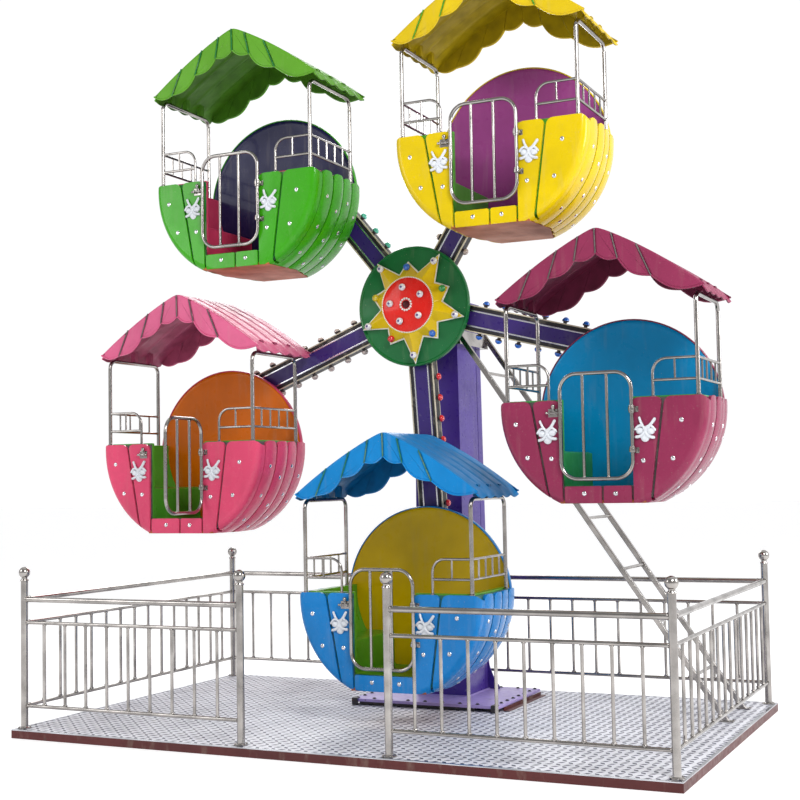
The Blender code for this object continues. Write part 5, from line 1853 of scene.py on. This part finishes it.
class FERRIS_OT_tubs(bpy.types.Operator):
    """Planked tubs with their grooves, undersides, studs and flowers"""

    bl_idname = "ferris.tubs"
    bl_label = "Tubs"

    def execute(self, context):
        sizes, paint = settings(context)
        skin = cabin_gelcoat(paint, "tub")
        chrome = finish_named("stud chrome", bright_steel, linear(238, 238, 242), 0.10, 0.26)
        white = finish_named("white flower", gelcoat, linear(222, 226, 232), 0.20)
        studs = scattered(dome_stud(sizes.stud, 0.0062), stud_places(sizes))
        into_cabins(joined([*build_planks(sizes), *build_staves(sizes)]), "planks", skin, "*_tub")
        into_cabins(build_hull(sizes), "hull", cabin_finish(paint, "groove", groove_paint))
        into_cabins(build_underside(), "underside", cabin_finish(paint, "underside", laminate))
        into_cabins(build_back(), "back_wall", skin)
        into_cabins(build_mount(), "mount", grey_finish())
        into_cabins(studs, "studs", chrome)
        into_cabins(build_flowers(), "flowers", white)
        return {"FINISHED"}


class FERRIS_OT_interiors(bpy.types.Operator):
    """Liners with their benches, and the round panels behind the riders"""

    bl_idname = "ferris.interiors"
    bl_label = "Cabin interiors"

    def execute(self, context):
        paint = context.scene.ferris_paint
        into_cabins(build_liner(), "benches", cabin_gelcoat(paint, "liner", 0.26), "*_liner")
        into_cabins(build_panel(), "round_panel", cabin_gelcoat(paint, "panel", 0.24, 0.10),
                    "*_back_disc")
        return {"FINISHED"}


class FERRIS_OT_roofs(bpy.types.Operator):
    """Scalloped roofs with their valances"""

    bl_idname = "ferris.roofs"
    bl_label = "Roofs"

    def execute(self, context):
        paint = context.scene.ferris_paint
        front = ROOF_FRONT + 0.011
        back = ROOF_BACK - 0.011
        roof = joined([build_roof_skin(), *build_tongues(front, -1), *build_tongues(back, 1),
                       *build_saddles()])
        # The last number, 0.55, darkens the marked faces under and inside the roof: painted shade.
        into_cabins(underside_shaded(roof), "roof", cabin_gelcoat(paint, "canopy", 0.38, 0.04, 0.55),
                    "*_canopy")
        edges = joined([build_rolled_edge(front - 0.005), build_rolled_edge(back + 0.005)])
        into_cabins(edges, "roof_beads", cabin_gelcoat(paint, "canopy"))
        creases = joined([*build_creases(front - 0.0102), *build_creases(back + 0.0102)])
        into_cabins(creases, "roof_creases", cabin_finish(paint, "crease", groove_paint))
        return {"FINISHED"}


class FERRIS_OT_hoops(bpy.types.Operator):
    """The hoops that carry the roofs, with the railings over the benches"""

    bl_idname = "ferris.hoops"
    bl_label = "Hoops"

    def execute(self, context):
        steel = steel_finish(context.scene.ferris_paint)
        right = build_side_hoop()
        left = mirrored(right)
        into_cabins(right, "hoop_right", steel, "*_frame_right")
        into_cabins(left, "hoop_left", steel, "*_frame_left")
        return {"FINISHED"}


class FERRIS_OT_gates(bpy.types.Operator):
    """Barred doors, their hinge eyes and latches"""

    bl_idname = "ferris.gates"
    bl_label = "Gates"

    def execute(self, context):
        steel = steel_finish(context.scene.ferris_paint)
        gate = build_gate()
        for colour in CABINS:
            place = Matrix.Translation(PIVOTS[colour])
            if colour == "pink":
                place @= shifted(*HINGE) @ turned(PINK_DOOR_OPEN) @ shifted(*-HINGE)
            dressed(copied(gate, place), colour + "_gate", "door_" + colour, steel,
                    [colour + "_door"])
        removed(gate)
        into_cabins(joined([*build_hinges(), *build_latch()]), "latch", steel)
        return {"FINISHED"}


# Stage

CAMERA_SPOT = (4.24, -8.90, 1.73)
CAMERA_YAW, CAMERA_PITCH, CAMERA_ROLL = 25.46, 3.39, -1.03
CAMERA_LENS = 61.5
AIM = Vector((0.0, 0.0, 2.2))
# for each lamp: its place, its size and its power
LAMPS = {"key": ((6.5, -6.5, 7.5), 3.0, 560.0), "side": ((8.5, 1.5, 4.5), 3.0, 330.0),
         "fill": ((-7.0, -7.0, 5.5), 4.0, 200.0), "rim": ((-4.0, 7.5, 6.5), 4.0, 300.0)}
# how bright the surroundings are, from straight below to straight above
SKY = ((0.0, 0.93), (0.34, 0.95), (0.50, 0.62), (0.72, 0.72), (1.0, 1.0))


def build_surroundings(scene):
    """A soft grey world, darker below the horizon's band and brighter away from the camera."""
    scene.world = bpy.data.worlds.new("studio")
    scene.world.use_nodes = True
    tree = scene.world.node_tree
    tree.nodes.clear()

    def linked(kind, **sources):
        made = tree.nodes.new(kind)
        for socket, source in sources.items():
            tree.links.new(source, made.inputs[socket])
        return made

    split = linked("ShaderNodeSeparateXYZ", Vector=linked("ShaderNodeTexCoord").outputs["Generated"])
    ramp = linked("ShaderNodeValToRGB", Fac=split.outputs["Z"])
    depth = linked("ShaderNodeMapRange", Value=split.outputs["Y"])
    for socket, value in (("From Min", -0.55), ("From Max", 0.45), ("To Min", 0.50), ("To Max", 1.09)):
        depth.inputs[socket].default_value = value
    light = linked("ShaderNodeBackground", Color=ramp.outputs["Color"], Strength=depth.outputs["Result"])
    linked("ShaderNodeOutputWorld", Surface=light.outputs["Background"])
    steps = ramp.color_ramp.elements
    steps[0].position, steps[1].position = SKY[0][0], SKY[-1][0]
    for position, level in SKY[1:-1]:
        steps.new(position)
    for step, (position, level) in zip(steps, SKY):
        step.color = (level, level, level * 1.01, 1.0)


def build_lamps(collection):
    for name, (place, size, power) in LAMPS.items():
        area = bpy.data.lights.new(name, "AREA")
        area.size = size
        area.energy = power
        area_object = bpy.data.objects.new(name, area)
        area_object.location = place
        area_object.rotation_euler = (AIM - Vector(place)).to_track_quat("-Z", "Y").to_euler()
        collection.objects.link(area_object)


def build_camera(scene):
    """The camera at the photograph's own viewpoint."""
    yaw, pitch, roll = radians(CAMERA_YAW), radians(CAMERA_PITCH), radians(CAMERA_ROLL)
    ahead = Vector((-sin(yaw) * cos(pitch), cos(yaw) * cos(pitch), sin(pitch)))
    level = Vector((cos(yaw), sin(yaw), 0.0))
    rise = level.cross(ahead)
    right = cos(roll) * level + sin(roll) * rise
    top = -sin(roll) * level + cos(roll) * rise
    data = bpy.data.cameras.new("photo view")
    data.sensor_width = 36.0
    data.lens = CAMERA_LENS
    data.clip_end = 300.0
    camera = bpy.data.objects.new("photo view", data)
    turn = Matrix((right, top, -ahead)).transposed().to_4x4()
    camera.matrix_world = Matrix.Translation(CAMERA_SPOT) @ turn
    scene.collection.objects.link(camera)
    scene.camera = camera


class FERRIS_OT_stage(bpy.types.Operator):
    """Pale floor, soft studio light and the camera"""

    bl_idname = "ferris.stage"
    bl_label = "Stage"

    def execute(self, context):
        bpy.ops.mesh.primitive_plane_add(size=160.0, location=(0.0, 0.0, -0.0006))
        floor = context.object
        floor.name = "floor"
        floor.data.materials.append(studio_floor("studio floor", (0.66, 0.66, 0.665)))
        build_surroundings(context.scene)
        context.scene.view_settings.view_transform = "Standard"
        build_lamps(context.collection)
        build_camera(context.scene)
        return {"FINISHED"}


class FERRIS_PT_wheel(bpy.types.Panel):
    """Lists the pieces of the wheel"""

    bl_idname = "FERRIS_PT_wheel"
    bl_label = "Ferris wheel"
    bl_space_type = "VIEW_3D"
    bl_region_type = "UI"
    bl_category = "Ferris"

    def draw(self, context):
        sizes, paint = settings(context)
        for operator in OPERATORS:
            self.layout.operator(operator.bl_idname)
        groups = [(sizes, WheelSizes), (paint, MachinePaint)]
        groups += [(getattr(paint, colour), kind) for colour, kind in PAINT_GROUPS.items()]
        for group, kind in groups:
            box = self.layout.box()
            for name in kind.__annotations__:
                if name not in PAINT_GROUPS:
                    box.prop(group, name)


OPERATORS = (FERRIS_OT_stage, FERRIS_OT_deck, FERRIS_OT_edge_frame, FERRIS_OT_fences, FERRIS_OT_column,
             FERRIS_OT_foot, FERRIS_OT_drive, FERRIS_OT_ladder, FERRIS_OT_hub, FERRIS_OT_arms,
             FERRIS_OT_tubs, FERRIS_OT_interiors, FERRIS_OT_roofs, FERRIS_OT_hoops, FERRIS_OT_gates)
for colour, kind in PAINT_GROUPS.items():
    MachinePaint.__annotations__[colour] = PointerProperty(name=colour.title(), type=kind,
                                                           description="Colours of this cabin")
CLASSES = (*PAINT_GROUPS.values(), MachinePaint, WheelSizes, *OPERATORS, FERRIS_PT_wheel)


def register():
    for kind in CLASSES:
        bpy.utils.register_class(kind)
    bpy.types.Scene.ferris_sizes = PointerProperty(name="Sizes", description="Sizes of the details",
                                                   type=WheelSizes)
    bpy.types.Scene.ferris_paint = PointerProperty(name="Paint", description="Colours", type=MachinePaint)


def unregister():
    del bpy.types.Scene.ferris_paint
    del bpy.types.Scene.ferris_sizes
    for kind in reversed(CLASSES):
        bpy.utils.unregister_class(kind)


def main():
    register()
    bpy.ops.object.select_all(action="DESELECT")
    bpy.ops.ferris.stage()
    bpy.ops.ferris.deck()
    bpy.ops.ferris.edge_frame()
    bpy.ops.ferris.fences()
    bpy.ops.ferris.column()
    bpy.ops.ferris.foot()
    bpy.ops.ferris.drive()
    bpy.ops.ferris.ladder()
    bpy.ops.ferris.hub()
    bpy.ops.ferris.arms()
    bpy.ops.ferris.tubs()
    bpy.ops.ferris.interiors()
    bpy.ops.ferris.roofs()
    bpy.ops.ferris.hoops()
    bpy.ops.ferris.gates()


if __name__ == "__main__":
    main()
